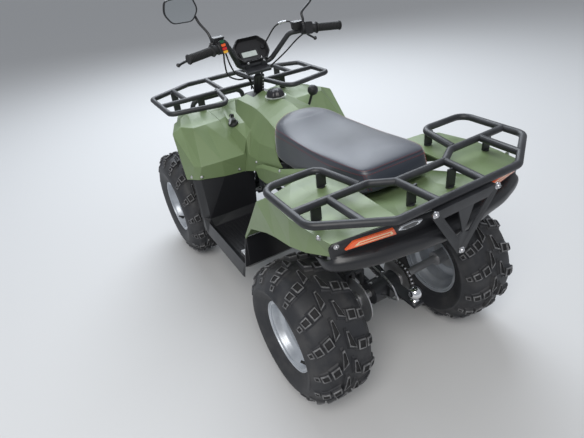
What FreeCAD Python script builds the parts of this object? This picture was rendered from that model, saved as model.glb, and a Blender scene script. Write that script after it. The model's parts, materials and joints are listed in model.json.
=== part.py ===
import math
import os

import FreeCAD
import Part
import Sketcher

# Quad bike on four balloon tyres. Lengths are in millimetres. The frame has its origin on the ground, midway
# between the axles: +X is forwards, +Y is the rider's left and +Z is up.

doc = FreeCAD.newDocument("QuadBike")
sheet = doc.addObject("Spreadsheet::Sheet", "Sizes")

# name, value, what it is
DRIVING_SIZES = [
    ("wheelbase", 1167, "rear axle to front axle"),
    ("rear_tyre_radius", 272, "to the tips of the lugs"),
    ("rear_tyre_width", 250, "across the shoulders"),
    ("rear_rim_face", 442, "centre plane to the outer lip of a rear rim"),
    ("rear_rim_width", 188, "lip to lip"),
    ("front_tyre_radius", 286, "to the tips of the lugs"),
    ("front_tyre_width", 178, "across the shoulders"),
    ("front_rim_face", 464, "centre plane to the outer lip of a front rim"),
    ("front_rim_width", 146, "lip to lip"),
    ("rim_lip_radius", 140, "outer radius of the rim's lips"),
    ("rim_well_radius", 112, "outer radius of the rim's well"),
    ("rim_wall", 5, "pressed steel of the rims"),
    ("lug_height", 15, "how far the lugs stand out of the carcass"),
    ("lugs_round", 16, "lugs in each row round the tyre"),
    ("axle_radius", 16, "rear axle shaft"),
    ("spindle_radius", 12, "front wheel spindles"),
    ("running_gap", 0.1, "radial clearance of shafts and pins"),
    ("seat_gap", 0.3, "clearance between pieces that lie on each other"),
    ("panel_wall", 5, "moulded plastic panels"),
    ("rack_tube", 12, "radius of the rack tubes"),
    ("rack_bend", 45, "bend radius of the rack tubes"),
    ("rear_rack_height", 857, "centre line of the rear rack's tubes"),
    ("front_rack_height", 862, "centre line of the front rack's tubes"),
    ("rack_half_width", 427, "centre plane to the outer rack tubes"),
    ("rear_rack_reach", 329, "rear axle to the rear tube of the rear rack"),
    ("rear_rack_front", 51, "rear axle forwards to the front tubes of the rear rack"),
    ("front_rack_reach", 155, "front axle forwards to the front tube of the front rack"),
    ("front_rack_rear", 230, "front axle back to the rear tubes of the front rack"),
    ("frame_tube", 15, "radius of the main frame tubes"),
    ("frame_bend", 60, "bend radius of the main frame tubes"),
    ("frame_low", 258, "centre line of the lower rails"),
    ("frame_half_width", 92, "centre plane to the lower rails"),
    ("frame_high", 690, "centre line of the upper rails"),
    ("kingpin_half_track", 300, "centre plane to a kingpin"),
    ("kingpin_half_height", 84, "wheel centre to an upper or lower ball joint"),
    ("stem_rake", 18, "lean of the steering stem from upright, in degrees"),
    ("stem_hole_ahead", -268, "front axle to the stem's axis at the tank cover"),
    ("stem_hole_height", 886, "height at which the stem passes the tank cover"),
    ("stem_radius", 12.5, "steering stem"),
    ("stem_foot_height", 312, "height of the stem's lower end on its axis"),
    ("steering_arm", 70, "length of the pitman arm and of the knuckle arms"),
    ("pitman_spread", 21, "centre plane to each tie rod pin on the pitman arm"),
    ("tie_rod_radius", 7, "tie rods"),
    ("bar_radius", 11, "handlebar tube"),
    ("bar_height", 1010, "handlebar where it is clamped"),
    ("bar_grip_height", 1126, "grips"),
    ("bar_half_width", 356, "centre plane to a grip's outer end"),
    ("cap_radius", 42, "fuel cap"),
    ("tow_ball_radius", 25, "hitch ball"),
]

for row, (name, number, note) in enumerate(DRIVING_SIZES, start=1):
    sheet.set("A%d" % row, note)
    sheet.set("B%d" % row, str(number))
    sheet.setAlias("B%d" % row, name)
doc.recompute()


class Size:
    """A number that keeps the formula it came from, so that a feature can be bound to it."""

    def __init__(self, number, formula):
        self.number = float(number)
        self.formula = formula

    def __float__(self):
        return self.number

    def __add__(self, other):
        return Size(self.number + float(other), "(%s + %s)" % (self.formula, words(other)))

    def __sub__(self, other):
        return Size(self.number - float(other), "(%s - %s)" % (self.formula, words(other)))

    def __mul__(self, other):
        return Size(self.number * float(other), "(%s * %s)" % (self.formula, words(other)))

    def __truediv__(self, other):
        return Size(self.number / float(other), "(%s / %s)" % (self.formula, words(other)))

    def __radd__(self, other):
        return as_size(other) + self

    def __rsub__(self, other):
        return as_size(other) - self

    def __rmul__(self, other):
        return as_size(other) * self

    def __neg__(self):
        return Size(-self.number, "(-%s)" % self.formula)


def words(value):
    return value.formula if isinstance(value, Size) else repr(float(value))


def as_size(value):
    return value if isinstance(value, Size) else Size(value, repr(float(value)))


class Sheet:
    def __getattr__(self, name):
        return Size(sheet.get(name), "Sizes." + name)


s = Sheet()
nodes = {}


def point(x, y, z):
    return FreeCAD.Vector(float(x), float(y), float(z))


def bind(thing, field, value):
    thing.setExpression(field, words(value))


def place(thing, x, y, z):
    for axis, value in zip("xyz", (x, y, z)):
        bind(thing, ".Placement.Base." + axis, value)


def keep(name, thing):
    thing.Label = name
    nodes[name] = thing
    return thing


def keep_shape(name, shape):
    return keep(name, feature(name, shape))


def feature(name, shape):
    thing = doc.addObject("Part::Feature", name)
    thing.Shape = shape
    return thing


def fused(shapes):
    shapes = list(shapes)
    whole = shapes[0].multiFuse(shapes[1:])
    merged = whole.removeSplitter()
    return merged if merged.isValid() else whole


def joined(shapes):
    """The same, one piece after another, for frames whose tubes graze each other."""
    whole = shapes[0]
    for shape in shapes[1:]:
        whole = whole.fuse(shape)
    return whole


def mirrored(shape):
    return shape.mirror(FreeCAD.Vector(0, 0, 0), FreeCAD.Vector(0, 1, 0))


def keep_pair(name, shape):
    """One node that holds a left-hand piece and its mirror image."""
    return keep_shape(name, Part.makeCompound([shape, mirrored(shape)]))


def rod(start, end, radius):
    return Part.makeCylinder(float(radius), (end - start).Length, start, end - start)


def tube_path(corners, bend):
    """A route of straight runs with a tangent arc at each inner corner."""
    corners = [FreeCAD.Vector(c) for c in corners]
    edges = []
    last = corners[0]
    for before, corner, after in zip(corners, corners[1:], corners[2:]):
        to_before = (before - corner).normalize()
        to_after = (after - corner).normalize()
        half_turn = (math.pi - to_before.getAngle(to_after)) / 2
        setback = float(bend) * math.tan(half_turn)
        bisector = (to_before + to_after).normalize()
        depth = float(bend) / math.cos(half_turn) - float(bend)
        first, middle, second = corner + to_before * setback, corner + bisector * depth, corner + to_after * setback
        edges.append(Part.LineSegment(last, first).toShape())
        edges.append(Part.Arc(first, middle, second).toShape())
        last = second
    edges.append(Part.LineSegment(last, corners[-1]).toShape())
    return Part.Wire(edges)


def tube(corners, radius, bend):
    """A round tube: a straight piece or a bent piece for each edge of its path."""
    path = tube_path(corners, bend)
    walls = []
    ends = []
    for edge in path.Edges:
        start, end = edge.valueAt(edge.FirstParameter), edge.valueAt(edge.LastParameter)
        if edge.Curve.TypeId == "Part::GeomLine":
            walls.append(rod(start, end, radius))
        else:
            centre, axis = edge.Curve.Center, edge.Curve.Axis
            leaving = edge.tangentAt(edge.FirstParameter)
            if (start - centre).cross(leaving).dot(axis) < 0:
                axis = -axis
            swept = math.degrees((start - centre).getAngle(end - centre))
            disc = Part.Face(Part.Wire(Part.makeCircle(float(radius), start, leaving)))
            walls.append(disc.revolve(centre, axis, swept))
        ends += [start, end]
    faces = []
    for piece in walls:
        faces += [f for f in piece.Faces if f.Surface.TypeId != "Part::GeomPlane"]
    faces += [f for f in walls[0].Faces + walls[-1].Faces
              if f.Surface.TypeId == "Part::GeomPlane" and min((f.CenterOfMass - ends[k]).Length for k in (0, -1)) < 0.01]
    shell = Part.makeShell(faces)
    shell.sewShape()
    solid = Part.makeSolid(shell)
    if solid.Volume < 0:
        solid.reverse()
    return solid


def seat_on(shape, x, y, from_below=False):
    """Where an upright line meets a shape from above or from below, and the outward normal there."""
    def height(at_x, at_y):
        hit = shape.common(Part.makeLine(point(at_x, at_y, 0), point(at_x, at_y, 1500))).BoundBox
        return hit.ZMin if from_below else hit.ZMax
    step = 3
    at = point(x, y, height(x, y))
    along = FreeCAD.Vector(step, 0, height(x + step, y) - at.z)
    across = FreeCAD.Vector(0, step, height(x, y + step) - at.z)
    normal = along.cross(across).normalize()
    return at, -normal if from_below else normal


def faceted(triangles):
    return Part.makeSolid(Part.makeShell([Part.Face(Part.makePolygon([a, b, c, a])) for a, b, c in triangles]))


def closed_solid(triangles):
    """A solid from flat three-cornered faces that already close, turned so that they face outwards."""
    triangles = list(triangles)
    solid = faceted(triangles)
    if solid.Volume < 0:
        solid = faceted([(c, b, a) for a, b, c in triangles])
    merged = solid.removeSplitter()
    return merged if merged.isValid() and merged.Volume > 0 else solid


def quads(rows):
    """Each cell of a grid of points as two triangles."""
    for row, next_row in zip(rows, rows[1:]):
        for a, b, c, d in zip(row, row[1:], next_row[1:], next_row):
            yield a, b, c
            yield a, c, d


def panel(rows, wall):
    """A faceted moulding of one wall thickness: its outer face passes through the rows of points."""
    rows = [[FreeCAD.Vector(p) for p in row] for row in rows]
    high, wide = len(rows), len(rows[0])
    normal_sums = [[FreeCAD.Vector() for _ in row] for row in rows]
    for i in range(high - 1):
        for j in range(wide - 1):
            across = rows[i + 1][j + 1] - rows[i][j]
            along = rows[i + 1][j] - rows[i][j + 1]
            normal = across.cross(along).normalize()
            for corner in ((i, j), (i + 1, j), (i, j + 1), (i + 1, j + 1)):
                normal_sums[corner[0]][corner[1]] += normal
    inner = []
    for row, sums in zip(rows, normal_sums):
        inner.append([p - n.normalize() * float(wall) for p, n in zip(row, sums)])
    triangles = list(quads(rows))
    triangles += [(c, b, a) for a, b, c in quads(inner)]
    triangles += quads([inner[0], rows[0]])
    triangles += quads([rows[-1], inner[-1]])
    triangles += quads([[row[0] for row in rows], [row[0] for row in inner]])
    triangles += quads([[row[-1] for row in inner], [row[-1] for row in rows]])
    return closed_solid(triangles)


def lofted(rings):
    """A solid skinned with flat facets over closed rings that have equal numbers of points."""
    rings = [[FreeCAD.Vector(p) for p in ring] for ring in rings]
    triangles = list(quads([ring + ring[:1] for ring in rings]))
    for ring in (rings[0][::-1], rings[-1]):
        centre = FreeCAD.Vector()
        for p in ring:
            centre += p
        centre = centre / len(ring)
        triangles += [(a, b, centre) for a, b in zip(ring, ring[1:] + ring[:1])]
    return closed_solid(triangles)


def revolved(name, profile, x, y, z):
    """A body turned about the Y direction; profile holds (radius, distance along Y) corners."""
    body = doc.addObject("PartDesign::Body", name)
    plane = [f for f in body.Origin.OriginFeatures if f.Role == "XY_Plane"][0]
    sketch = polygon_sketch(body, plane, name + "_profile", profile)
    turn = body.newObject("PartDesign::Revolution", name + "_turn")
    turn.Profile = sketch
    turn.ReferenceAxis = (sketch, ["V_Axis"])
    turn.Angle = 360
    body.Tip = turn
    place(body, x, y, z)
    return body


def polygon_sketch(body, plane, name, profile):
    sketch = body.newObject("Sketcher::SketchObject", name)
    sketch.AttachmentSupport = [(plane, "")]
    sketch.MapMode = "FlatFace"
    corners = [point(u, v, 0) for u, v in profile]
    count = len(corners)
    for i in range(count):
        sketch.addGeometry(Part.LineSegment(corners[i], corners[(i + 1) % count]), False)
    for i in range(count):
        sketch.addConstraint(Sketcher.Constraint("Coincident", i, 2, (i + 1) % count, 1))
    for i, (u, v) in enumerate(profile):
        for kind, value in (("DistanceX", u), ("DistanceY", v)):
            index = sketch.addConstraint(Sketcher.Constraint(kind, i, 1, float(value)))
            if isinstance(value, Size):
                sketch.setExpression("Constraints[%d]" % index, value.formula)
    return sketch


# Reference lines
rear_x = -s.wheelbase / 2
front_x = s.wheelbase / 2
rear_z = s.rear_tyre_radius
front_z = s.front_tyre_radius
rear_wheel_y = s.rear_rim_face - s.rear_rim_width / 2
front_wheel_y = s.front_rim_face - s.front_rim_width / 2
rake = math.radians(float(s.stem_rake))
stem_up = FreeCAD.Vector(-math.sin(rake), 0, math.cos(rake))


def rear(x, y, z):
    """A point given from the rear axle's line on the ground."""
    return point(float(rear_x) + float(x), y, z)


def front(x, y, z):
    """A point given from the front axle's line on the ground."""
    return point(float(front_x) + float(x), y, z)


def stem_point(height, along=0, ahead=0, left=0):
    """A point of the stem's own frame: up the axis, forwards square to it, and to the left."""
    drop = float(s.stem_hole_height) - height
    base = front(float(s.stem_hole_ahead) + drop * math.tan(rake), 0, height)
    forwards = FreeCAD.Vector(math.cos(rake), 0, math.sin(rake))
    return base + stem_up * along + forwards * ahead + FreeCAD.Vector(0, left, 0)


# Wheels: pressed rims with a deep dish, and tyres whose lugs stand in two staggered rows
def rim_profile(width, hub_radius, disc_inset, hub_out, hub_in):
    lip, well, wall = s.rim_lip_radius, s.rim_well_radius, s.rim_wall
    half = width / 2
    seat = lip - 13
    disc = half - disc_inset
    return [
        (lip, -half), (lip, wall - half), (seat, 8 - half), (seat, 34 - half), (well, 44 - half),
        (well, half - 44), (seat, half - 34), (seat, half - 8), (lip, half - wall), (lip, half),
        (lip - wall, half), (seat - wall, half - 9), (seat - wall, half - 36), (well - wall, half - 46),
        (well - wall, disc), (well - 44, disc + 10), (hub_radius + 12, disc + 10), (hub_radius + 12, disc + hub_out),
        (hub_radius, disc + hub_out), (hub_radius, disc - hub_in), (hub_radius + 12, disc - hub_in),
        (hub_radius + 12, disc + 4), (well - 44, disc + 4), (well - wall, disc - 7), (well - wall, 46 - half),
        (seat - wall, 36 - half), (seat - wall, 9 - half), (lip - wall, -half),
    ]


def tyre_shape(radius, width, rim_width):
    """Hollow carcass with its lugs, about the Y axis at the origin."""
    radius, width, rim_width = float(radius), float(width), float(rim_width)
    lug = float(s.lug_height)
    bead = float(s.rim_lip_radius) - 13 + float(s.seat_gap)
    carcass = radius - lug
    half, bead_half = width / 2, rim_width / 2 - 9
    outer = [(bead, bead_half), (bead + 14, bead_half + 1), (bead + 50, half - 4), (carcass - 42, half),
             (carcass - 12, half - 20), (carcass, half * 0.45)]
    inner = [(carcass - 12, half * 0.42), (carcass - 24, half - 30), (bead + 50, half - 16), (bead + 14, bead_half - 14),
             (bead, bead_half - 16)]
    corners = [FreeCAD.Vector(r, y, 0) for r, y in outer]
    corners += [FreeCAD.Vector(r, -y, 0) for r, y in reversed(outer)]
    corners += [FreeCAD.Vector(r, -y, 0) for r, y in reversed(inner)]
    corners += [FreeCAD.Vector(r, y, 0) for r, y in inner]
    face = Part.Face(Part.makePolygon(corners + corners[:1]))
    body = face.revolve(FreeCAD.Vector(0, 0, 0), FreeCAD.Vector(0, 1, 0), 360)
    count = int(float(s.lugs_round))
    pitch = 360.0 / count
    lugs = []
    for side in (1, -1):
        for i in range(count):
            turn = i * pitch + (pitch / 2 if side < 0 else 0)
            lugs.append(lug_block(radius, carcass, half, side, turn))
    return body.multiFuse(lugs)


def lug_block(radius, carcass, half, side, turn):
    """One chevron lug: from near the crown out to the shoulder, swept back as it goes."""
    base = carcass - 6
    rows = [
        (0.06 * half, 9, base, radius), (0.62 * half, 3, base, radius - 1),
        (0.97 * half, -3, carcass - 34, carcass - 4),
    ]
    rings = []
    for y, sweep, low, high in rows:
        wide = 15
        ring = []
        for r, t in ((low, sweep - wide / 2), (low, sweep + wide / 2), (high, sweep + wide / 2 - 2), (high, sweep - wide / 2 + 2)):
            ring.append(FreeCAD.Vector(t * 1.6, side * y, r))
        rings.append(ring)
    block = lofted(rings)
    block.rotate(FreeCAD.Vector(0, 0, 0), FreeCAD.Vector(0, 1, 0), turn)
    return block


def moved(shape, x, y, z):
    copy = shape.copy()
    copy.translate(point(x, y, z))
    return copy


rear_tyre = tyre_shape(s.rear_tyre_radius, s.rear_tyre_width, s.rear_rim_width)
front_tyre = tyre_shape(s.front_tyre_radius, s.front_tyre_width, s.front_rim_width)
rear_hub_radius = s.axle_radius + s.running_gap
front_hub_radius = s.spindle_radius + s.running_gap
HUB_OUT, FRONT_HUB_IN, REAR_HUB_IN = 24, 16, -4.3
REAR_DISC_INSET = 88
FRONT_DISC_INSET = 58

for side, sign in (("left", 1), ("right", -1)):
    rear_tyre_placed = moved(rear_tyre, rear_x, rear_wheel_y, rear_z)
    front_tyre_placed = moved(front_tyre, front_x, front_wheel_y, front_z)
    if sign < 0:
        rear_tyre_placed = mirrored(rear_tyre_placed)
        front_tyre_placed = mirrored(front_tyre_placed)
    keep_shape("rear_tyre_" + side, rear_tyre_placed)
    keep_shape("front_tyre_" + side, front_tyre_placed)
    profile = [(r, y * sign) for r, y in rim_profile(s.rear_rim_width, rear_hub_radius, REAR_DISC_INSET, 14, REAR_HUB_IN)]
    keep("rear_rim_" + side, revolved("rear_rim_" + side, profile, rear_x, rear_wheel_y * sign, rear_z))
    rim = rim_profile(s.front_rim_width, front_hub_radius, FRONT_DISC_INSET, HUB_OUT, FRONT_HUB_IN)
    profile = [(r, y * sign) for r, y in rim]
    keep("front_rim_" + side, revolved("front_rim_" + side, profile, front_x, front_wheel_y * sign, front_z))
doc.recompute()


# Live rear axle: one shaft with a hub flange for each wheel, the sprocket and the brake disc
rear_disc_face = rear_wheel_y + s.rear_rim_width / 2 - REAR_DISC_INSET
CHAIN_Y = -82
DISC_Y = 122
SPROCKET_RADIUS = 80
BRAKE_DISC_RADIUS = 92


def wheel_ring(radius, inner, low_y, high_y, x, z):
    """A ring about a line along Y."""
    axis = FreeCAD.Vector(0, 1, 0)
    start = point(x, low_y, z)
    length = float(high_y) - float(low_y)
    ring = Part.makeCylinder(float(radius), length, start, axis)
    if inner:
        ring = ring.cut(Part.makeCylinder(float(inner), length, start, axis))
    return ring


shaft_end = float(rear_disc_face) + 34
axle = [wheel_ring(s.axle_radius, 0, -shaft_end, shaft_end, rear_x, rear_z)]
for sign in (1, -1):
    flange_out = float(rear_disc_face) + 4
    ends = sorted((sign * (flange_out - 12), sign * flange_out))
    axle.append(wheel_ring(58, 0, ends[0], ends[1], rear_x, rear_z))
    barrel = sorted((sign * (flange_out - 70), sign * (flange_out - 12)))
    axle.append(wheel_ring(30, 0, barrel[0], barrel[1], rear_x, rear_z))
    nut = sorted((sign * (flange_out + 10), sign * (flange_out + 24)))
    axle.append(wheel_ring(27, 0, nut[0], nut[1], rear_x, rear_z))
for centre, hub in ((CHAIN_Y, 32), (DISC_Y, 34)):
    axle.append(wheel_ring(hub, 0, centre - 9, centre + 9, rear_x, rear_z))
keep_shape("rear_axle_shaft", fused(axle))
keep_shape("sprocket", wheel_ring(SPROCKET_RADIUS, 32, CHAIN_Y - 3, CHAIN_Y + 3, rear_x, rear_z))
keep_shape("brake_disc", wheel_ring(BRAKE_DISC_RADIUS, 34, DISC_Y - 2.5, DISC_Y + 2.5, rear_x, rear_z))

# Swingarm with the axle carrier, its pivot tube at the front, and the hitch tongue behind
SWINGARM_PIVOT = (330, 330)
carrier = wheel_ring(46, float(s.axle_radius) + float(s.running_gap), -62, 62, rear_x, rear_z)
pivot_x, pivot_z = SWINGARM_PIVOT
arms = [carrier]
for sign in (1, -1):
    arms.append(tube([rear(28, sign * 40, float(rear_z) + 10), rear(200, sign * 52, 318), rear(pivot_x, sign * 62, pivot_z)], 17, 90))
arms.append(rod(rear(pivot_x, -97.7, pivot_z), rear(pivot_x, 97.7, pivot_z), 20))
arms.append(rod(rear(190, -50, 316), rear(190, 50, 316), 15))
swingarm = fused(arms)
swingarm = swingarm.cut(wheel_ring(float(s.axle_radius) + float(s.running_gap), 0, -70, 70, rear_x, rear_z))
keep_shape("swingarm", swingarm)

TOW_X, TOW_Y, TOW_Z = -165, -15, 352
tongue = Part.makeBox(150, 46, 10, rear(TOW_X - 25, TOW_Y - 23, TOW_Z - 48))
tongue_lug = Part.makeBox(12, 46, 60, rear(-58, TOW_Y - 23, TOW_Z - 98))
ball = Part.makeSphere(float(s.tow_ball_radius), rear(TOW_X, TOW_Y, TOW_Z))
neck = Part.makeCylinder(13, 40, rear(TOW_X, TOW_Y, TOW_Z - 50))
keep_shape("tow_hitch", fused([tongue, tongue_lug, ball, neck]))

# Chain: a closed loop round the axle sprocket and the gearbox sprocket
GEARBOX_SPROCKET = (412, 322, 30)


def loop_band(centre_a, radius_a, centre_b, radius_b, grow, y_low, y_high):
    """The slab inside a belt line round two circles, grown by a margin."""
    ra, rb = radius_a + grow, radius_b + grow
    span = centre_b - centre_a
    lean = math.asin((ra - rb) / span.Length)
    base = math.atan2(span.z, span.x)
    outline = []
    for centre, radius, first, last in ((centre_a, ra, base + math.pi / 2 - lean, base + 1.5 * math.pi + lean),
                                        (centre_b, rb, base - math.pi / 2 + lean, base + math.pi / 2 - lean)):
        for angle in (first, (first + last) / 2, last):
            outline.append(centre + FreeCAD.Vector(math.cos(angle) * radius, 0, math.sin(angle) * radius))
    a1, a2, a3, b1, b2, b3 = outline
    edges = [Part.Arc(a1, a2, a3).toShape(), Part.LineSegment(a3, b1).toShape(),
             Part.Arc(b1, b2, b3).toShape(), Part.LineSegment(b3, a1).toShape()]
    face = Part.Face(Part.Wire(edges))
    face.translate(FreeCAD.Vector(0, y_low, 0))
    return face.extrude(FreeCAD.Vector(0, y_high - y_low, 0))


gear_x, gear_z, gear_radius = GEARBOX_SPROCKET
chain_rear = rear(0, 0, rear_z)
chain_front = rear(gear_x, 0, gear_z)
outer_band = loop_band(chain_rear, SPROCKET_RADIUS, chain_front, gear_radius, 14, CHAIN_Y - 7, CHAIN_Y + 7)
inner_band = loop_band(chain_rear, SPROCKET_RADIUS, chain_front, gear_radius, float(s.seat_gap), CHAIN_Y - 8, CHAIN_Y + 8)
keep_shape("chain", outer_band.cut(inner_band))

# Brake caliper over the disc, on a bracket from the carrier
caliper = Part.makeBox(60, 46, 64, rear(40, DISC_Y - 23, float(rear_z) + 40))
slot = Part.makeBox(80, 13, 76, rear(20, DISC_Y - 6.5, float(rear_z) + 20))
caliper = caliper.cut(slot)
bracket = Part.makeBox(60, 40, 10, rear(30, 62, float(rear_z) + 94))
web = Part.makeBox(14, 14, 80, rear(30, 62, float(rear_z) + 24))
keep_shape("brake_caliper", fused([caliper, bracket, web]))

# Frame: two lower rails that rise at the front, two upper rails, and the cross tubes between them
low, high, half = float(s.frame_low), float(s.frame_high), float(s.frame_half_width)
LOWER_SPREAD, UPPER_SPREAD, UPPER_PICKUP, PICKUP_Y = 96, 70, 400, 123
SHOCK_TOP_Y, SHOCK_TOP_Z = 106.3, 570
side = []
upper = [rear(-262, 112, high + 52), rear(60, 112, high + 6), front(-330, half - 4, high), front(-205, 60, high + 78)]
lower = [rear(150, 108, high - 2), rear(262, half + 16, low), front(-60, half, low),
         front(134, half - 6, low + 26), front(146, half - 16, 560), front(-215, 62, high + 62)]
side.append(tube(upper, s.frame_tube, s.frame_bend))
side.append(tube(lower, s.frame_tube, s.frame_bend))
side.append(Part.makeBox(60, 12, 120, rear(pivot_x - 30, 98, low - 2)))
side.append(Part.makeBox(40, 30, 90, front(-20, 64, 556)))
for reach_x, top_y, top_z in ((UPPER_SPREAD, 73, 598), (-UPPER_SPREAD, 68, 674)):
    side.append(rod(front(reach_x, half - 2, low), front(reach_x, top_y, top_z), 11))
side.append(rod(front(UPPER_SPREAD, 74, 582), front(-UPPER_SPREAD, 73, 582), 11))
for reach_x in (LOWER_SPREAD, -LOWER_SPREAD):
    for ear_x in (reach_x - 27.3, reach_x + 22.3):
        side.append(Part.makeBox(5, 51, 43 if reach_x > 0 else 25, front(ear_x, PICKUP_Y - 37.5, low - 13)))
for reach_x in (UPPER_SPREAD, -UPPER_SPREAD):
    side.append(Part.makeBox(49, 6, 26, front(reach_x - 24, 89, UPPER_PICKUP - 13)))
    for ear_x in (reach_x - 27.3, reach_x + 22.3):
        side.append(Part.makeBox(5, 60, 26, front(ear_x, PICKUP_Y - 46, UPPER_PICKUP - 13)))
for ear_x in (-19.3, 14.3):
    side.append(Part.makeBox(5, 52, 30, front(ear_x, 67, SHOCK_TOP_Z - 8)))
left_side = joined(side)

across = []
for at, width in ((rear(-250, 0, high + 50), 112), (rear(40, 0, high + 9), 112), (rear(262, 0, high), 100),
                  (rear(500, 0, low), half + 8), (front(-60, 0, low), half), (front(60, 0, low + 16), half),
                  (front(143, 0, 500), half - 14), (front(-214, 0, high + 68), 62)):
    across.append(rod(at - FreeCAD.Vector(0, width, 0), at + FreeCAD.Vector(0, width, 0), s.frame_tube))
lower_bush_centre = stem_point(266)
upper_bush_centre = stem_point(high + 70)
for centre in (lower_bush_centre, upper_bush_centre):
    across.append(rod(centre - stem_up * 16, centre + stem_up * 16, float(s.stem_radius) + 9))
across.append(Part.makeBox(64, 2 * half, 8, point(lower_bush_centre.x - 32, -half, low - 4)))
across.append(Part.makeBox(130, 140, 8, point(upper_bush_centre.x - 75, -70, upper_bush_centre.z - 4)))
across.append(Part.makeBox(40, 220, 16.7, rear(366, -110, 699)))
across.append(Part.makeBox(30, 120, 46, rear(30, -60, 711.3)))
frame = joined([left_side, mirrored(left_side)] + across)
stem_hole = rod(stem_point(200), stem_point(900), float(s.stem_radius) + float(s.running_gap))
frame = frame.cut(stem_hole)
keep_shape("frame", frame)

# Engine: crankcase with round side covers, finned cylinder leaning forwards, intake behind it
ENGINE_X, ENGINE_Z = 530, 361.3
case_profile = [(-150, -70), (-120, -88), (110, -88), (150, -40), (150, 30), (90, 78), (-60, 88), (-144, 50)]
case = Part.Face(Part.makePolygon([rear(ENGINE_X + u, -70, ENGINE_Z + w) for u, w in case_profile + case_profile[:1]]))
engine = [case.extrude(FreeCAD.Vector(0, 142, 0))]
for cover_x, cover_z, radius, low_y, high_y in ((70, -8, 74, 72, 100), (-78, -20, 52, 72, 92), (60, -8, 78, -98, -70)):
    engine.append(wheel_ring(radius, 0, low_y, high_y, rear(ENGINE_X + cover_x, 0, 0).x, ENGINE_Z + cover_z))
cylinder_foot = rear(ENGINE_X + 50, 0, ENGINE_Z + 60)
lean = FreeCAD.Vector(math.sin(math.radians(16)), 0, math.cos(math.radians(16)))
engine.append(rod(cylinder_foot, cylinder_foot + lean * 180, 46))
for fin in range(7):
    start = cylinder_foot + lean * (34 + 15 * fin)
    engine.append(rod(start, start + lean * 5, 68))
head = Part.makeBox(104, 96, 46, FreeCAD.Vector(-52, -48, 0))
head.rotate(FreeCAD.Vector(0, 0, 0), FreeCAD.Vector(0, 1, 0), 16)
head.translate(cylinder_foot + lean * 140)
engine.append(head)
engine.append(wheel_ring(12, 0, CHAIN_Y - 12, -70, rear(gear_x, 0, 0).x, gear_z))
engine.append(wheel_ring(gear_radius, 0, CHAIN_Y - 3, CHAIN_Y + 3, rear(gear_x, 0, 0).x, gear_z))
engine = fused(engine)
keep_shape("engine", engine)

# Air box under the seat, between the upper rails
air_box = [point(-75, -78, 0), point(105, -84, 0), point(105, 84, 0), point(-75, 78, 0)]
AIR_BOX_LEVELS = [(552, 0.86), (566, 1.0), (672, 1.0), (683.7, 0.93)]
air_rings = [[rear(60 + (p.x - 15) * scale, p.y * scale, z) for p in air_box] for z, scale in AIR_BOX_LEVELS]
keep_shape("air_box", lofted(air_rings))

# Exhaust: header from the front of the head down the right side to a silencer beside the frame
head_out = FreeCAD.Vector(lean.z, 0, -lean.x)
head_front = cylinder_foot + lean * 163 + FreeCAD.Vector(0, -20, 0) + head_out * 52
silencer = [rod(rear(62, -170, 470), rear(330, -170, 440), 44), rod(rear(40, -170, 472), rear(66, -170, 470), 28)]
header = tube([head_front, head_front + head_out * 62, head_front + FreeCAD.Vector(72, -108, -60),
               rear(ENGINE_X + 60, -140, 470), rear(326, -170, 440)], 16, 36)
keep_shape("exhaust", fused(silencer + [header]))

# Front fenders: one faceted moulding each side, from the flange over the footwell to the nose
front_fender_rows = [
    # flange foot, lower crease, upper crease, deck front, nose
    [(-424, 196, 572), (-424, 300, 582), (-398, 415, 592), (-368, 435, 590), (-322, 450, 578)],
    [(-446, 196, 667), (-430, 300, 662), (-412, 395, 657), (-385, 420, 657), (-300, 449, 640)],
    [(-252, 214, 784), (-262, 290, 787), (-276, 354, 790), (-215, 396, 789), (-228, 440, 771)],
    [(-60, 214, 803), (-35, 250, 803), (-75, 335, 798), (-107, 390, 790), (-100, 438, 771)],
    [(262, 190, 690), (262, 270, 692), (256, 340, 690), (240, 400, 682), (226, 438, 664)],
]
fender = panel([[front(x, y, z) for x, y, z in row] for row in front_fender_rows], -s.panel_wall)
keep_pair("front_fenders", fender)

# Tank cover: raised spine between the fenders, with a hole for the stem and a shelf for the key
cover_half_rows = [
    [(-166.6, 0, 836), (-170, 84, 830), (-160, 140, 806), (-150, 180, 796), (-140, 213.2, 795)],
    [(-262, 0, 886), (-236, 98, 850), (-262, 126, 800), (-240, 178, 788), (-252, 213.2, 784)],
    [(-360, 0, 888), (-375, 96, 852), (-372, 138, 784), (-345, 186, 776), (-341, 204.8, 730)],
    [(-444, 0, 888), (-440, 100, 852), (-440, 144, 768), (-446, 174, 736), (-446, 195.2, 667)],
    [(-510, 0, 888), (-505, 106, 846), (-490, 156, 748), (-472, 184, 664), (-424, 195.2, 573)],
    [(-580, 0, 888), (-576, 116, 840), (-552, 160, 742), (-545, 177, 668), (-520, 180, 604)],
    [(-662, 0, 872), (-663.4, 128, 824), (-679, 153, 757), (-706, 158, 716), (-736, 160, 694)],
]
cover_rows = []
for half_row in cover_half_rows:
    right = [(x, -y, z) for x, y, z in reversed(half_row[1:])]
    cover_rows.append([front(x, y, z) for x, y, z in right + half_row])
cover = panel(cover_rows, s.panel_wall)
STEM_OPENING_REAR, STEM_OPENING_LENGTH, STEM_OPENING_HALF = -322, 96, 52
opening = Part.makeBox(STEM_OPENING_LENGTH, 2 * STEM_OPENING_HALF, 200,
                       front(STEM_OPENING_REAR, -STEM_OPENING_HALF, 780))
cover = cover.cut(opening)
cap_hole = Part.makeCylinder(30, 60, front(-446, 0, 850))
cover = cover.cut(cap_hole)
cap_collar = Part.makeCylinder(36, 30, front(-446, 0, 858)).cut(cap_hole)
cover = cover.fuse(cap_collar)
keep_shape("tank_cover", cover)

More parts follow.
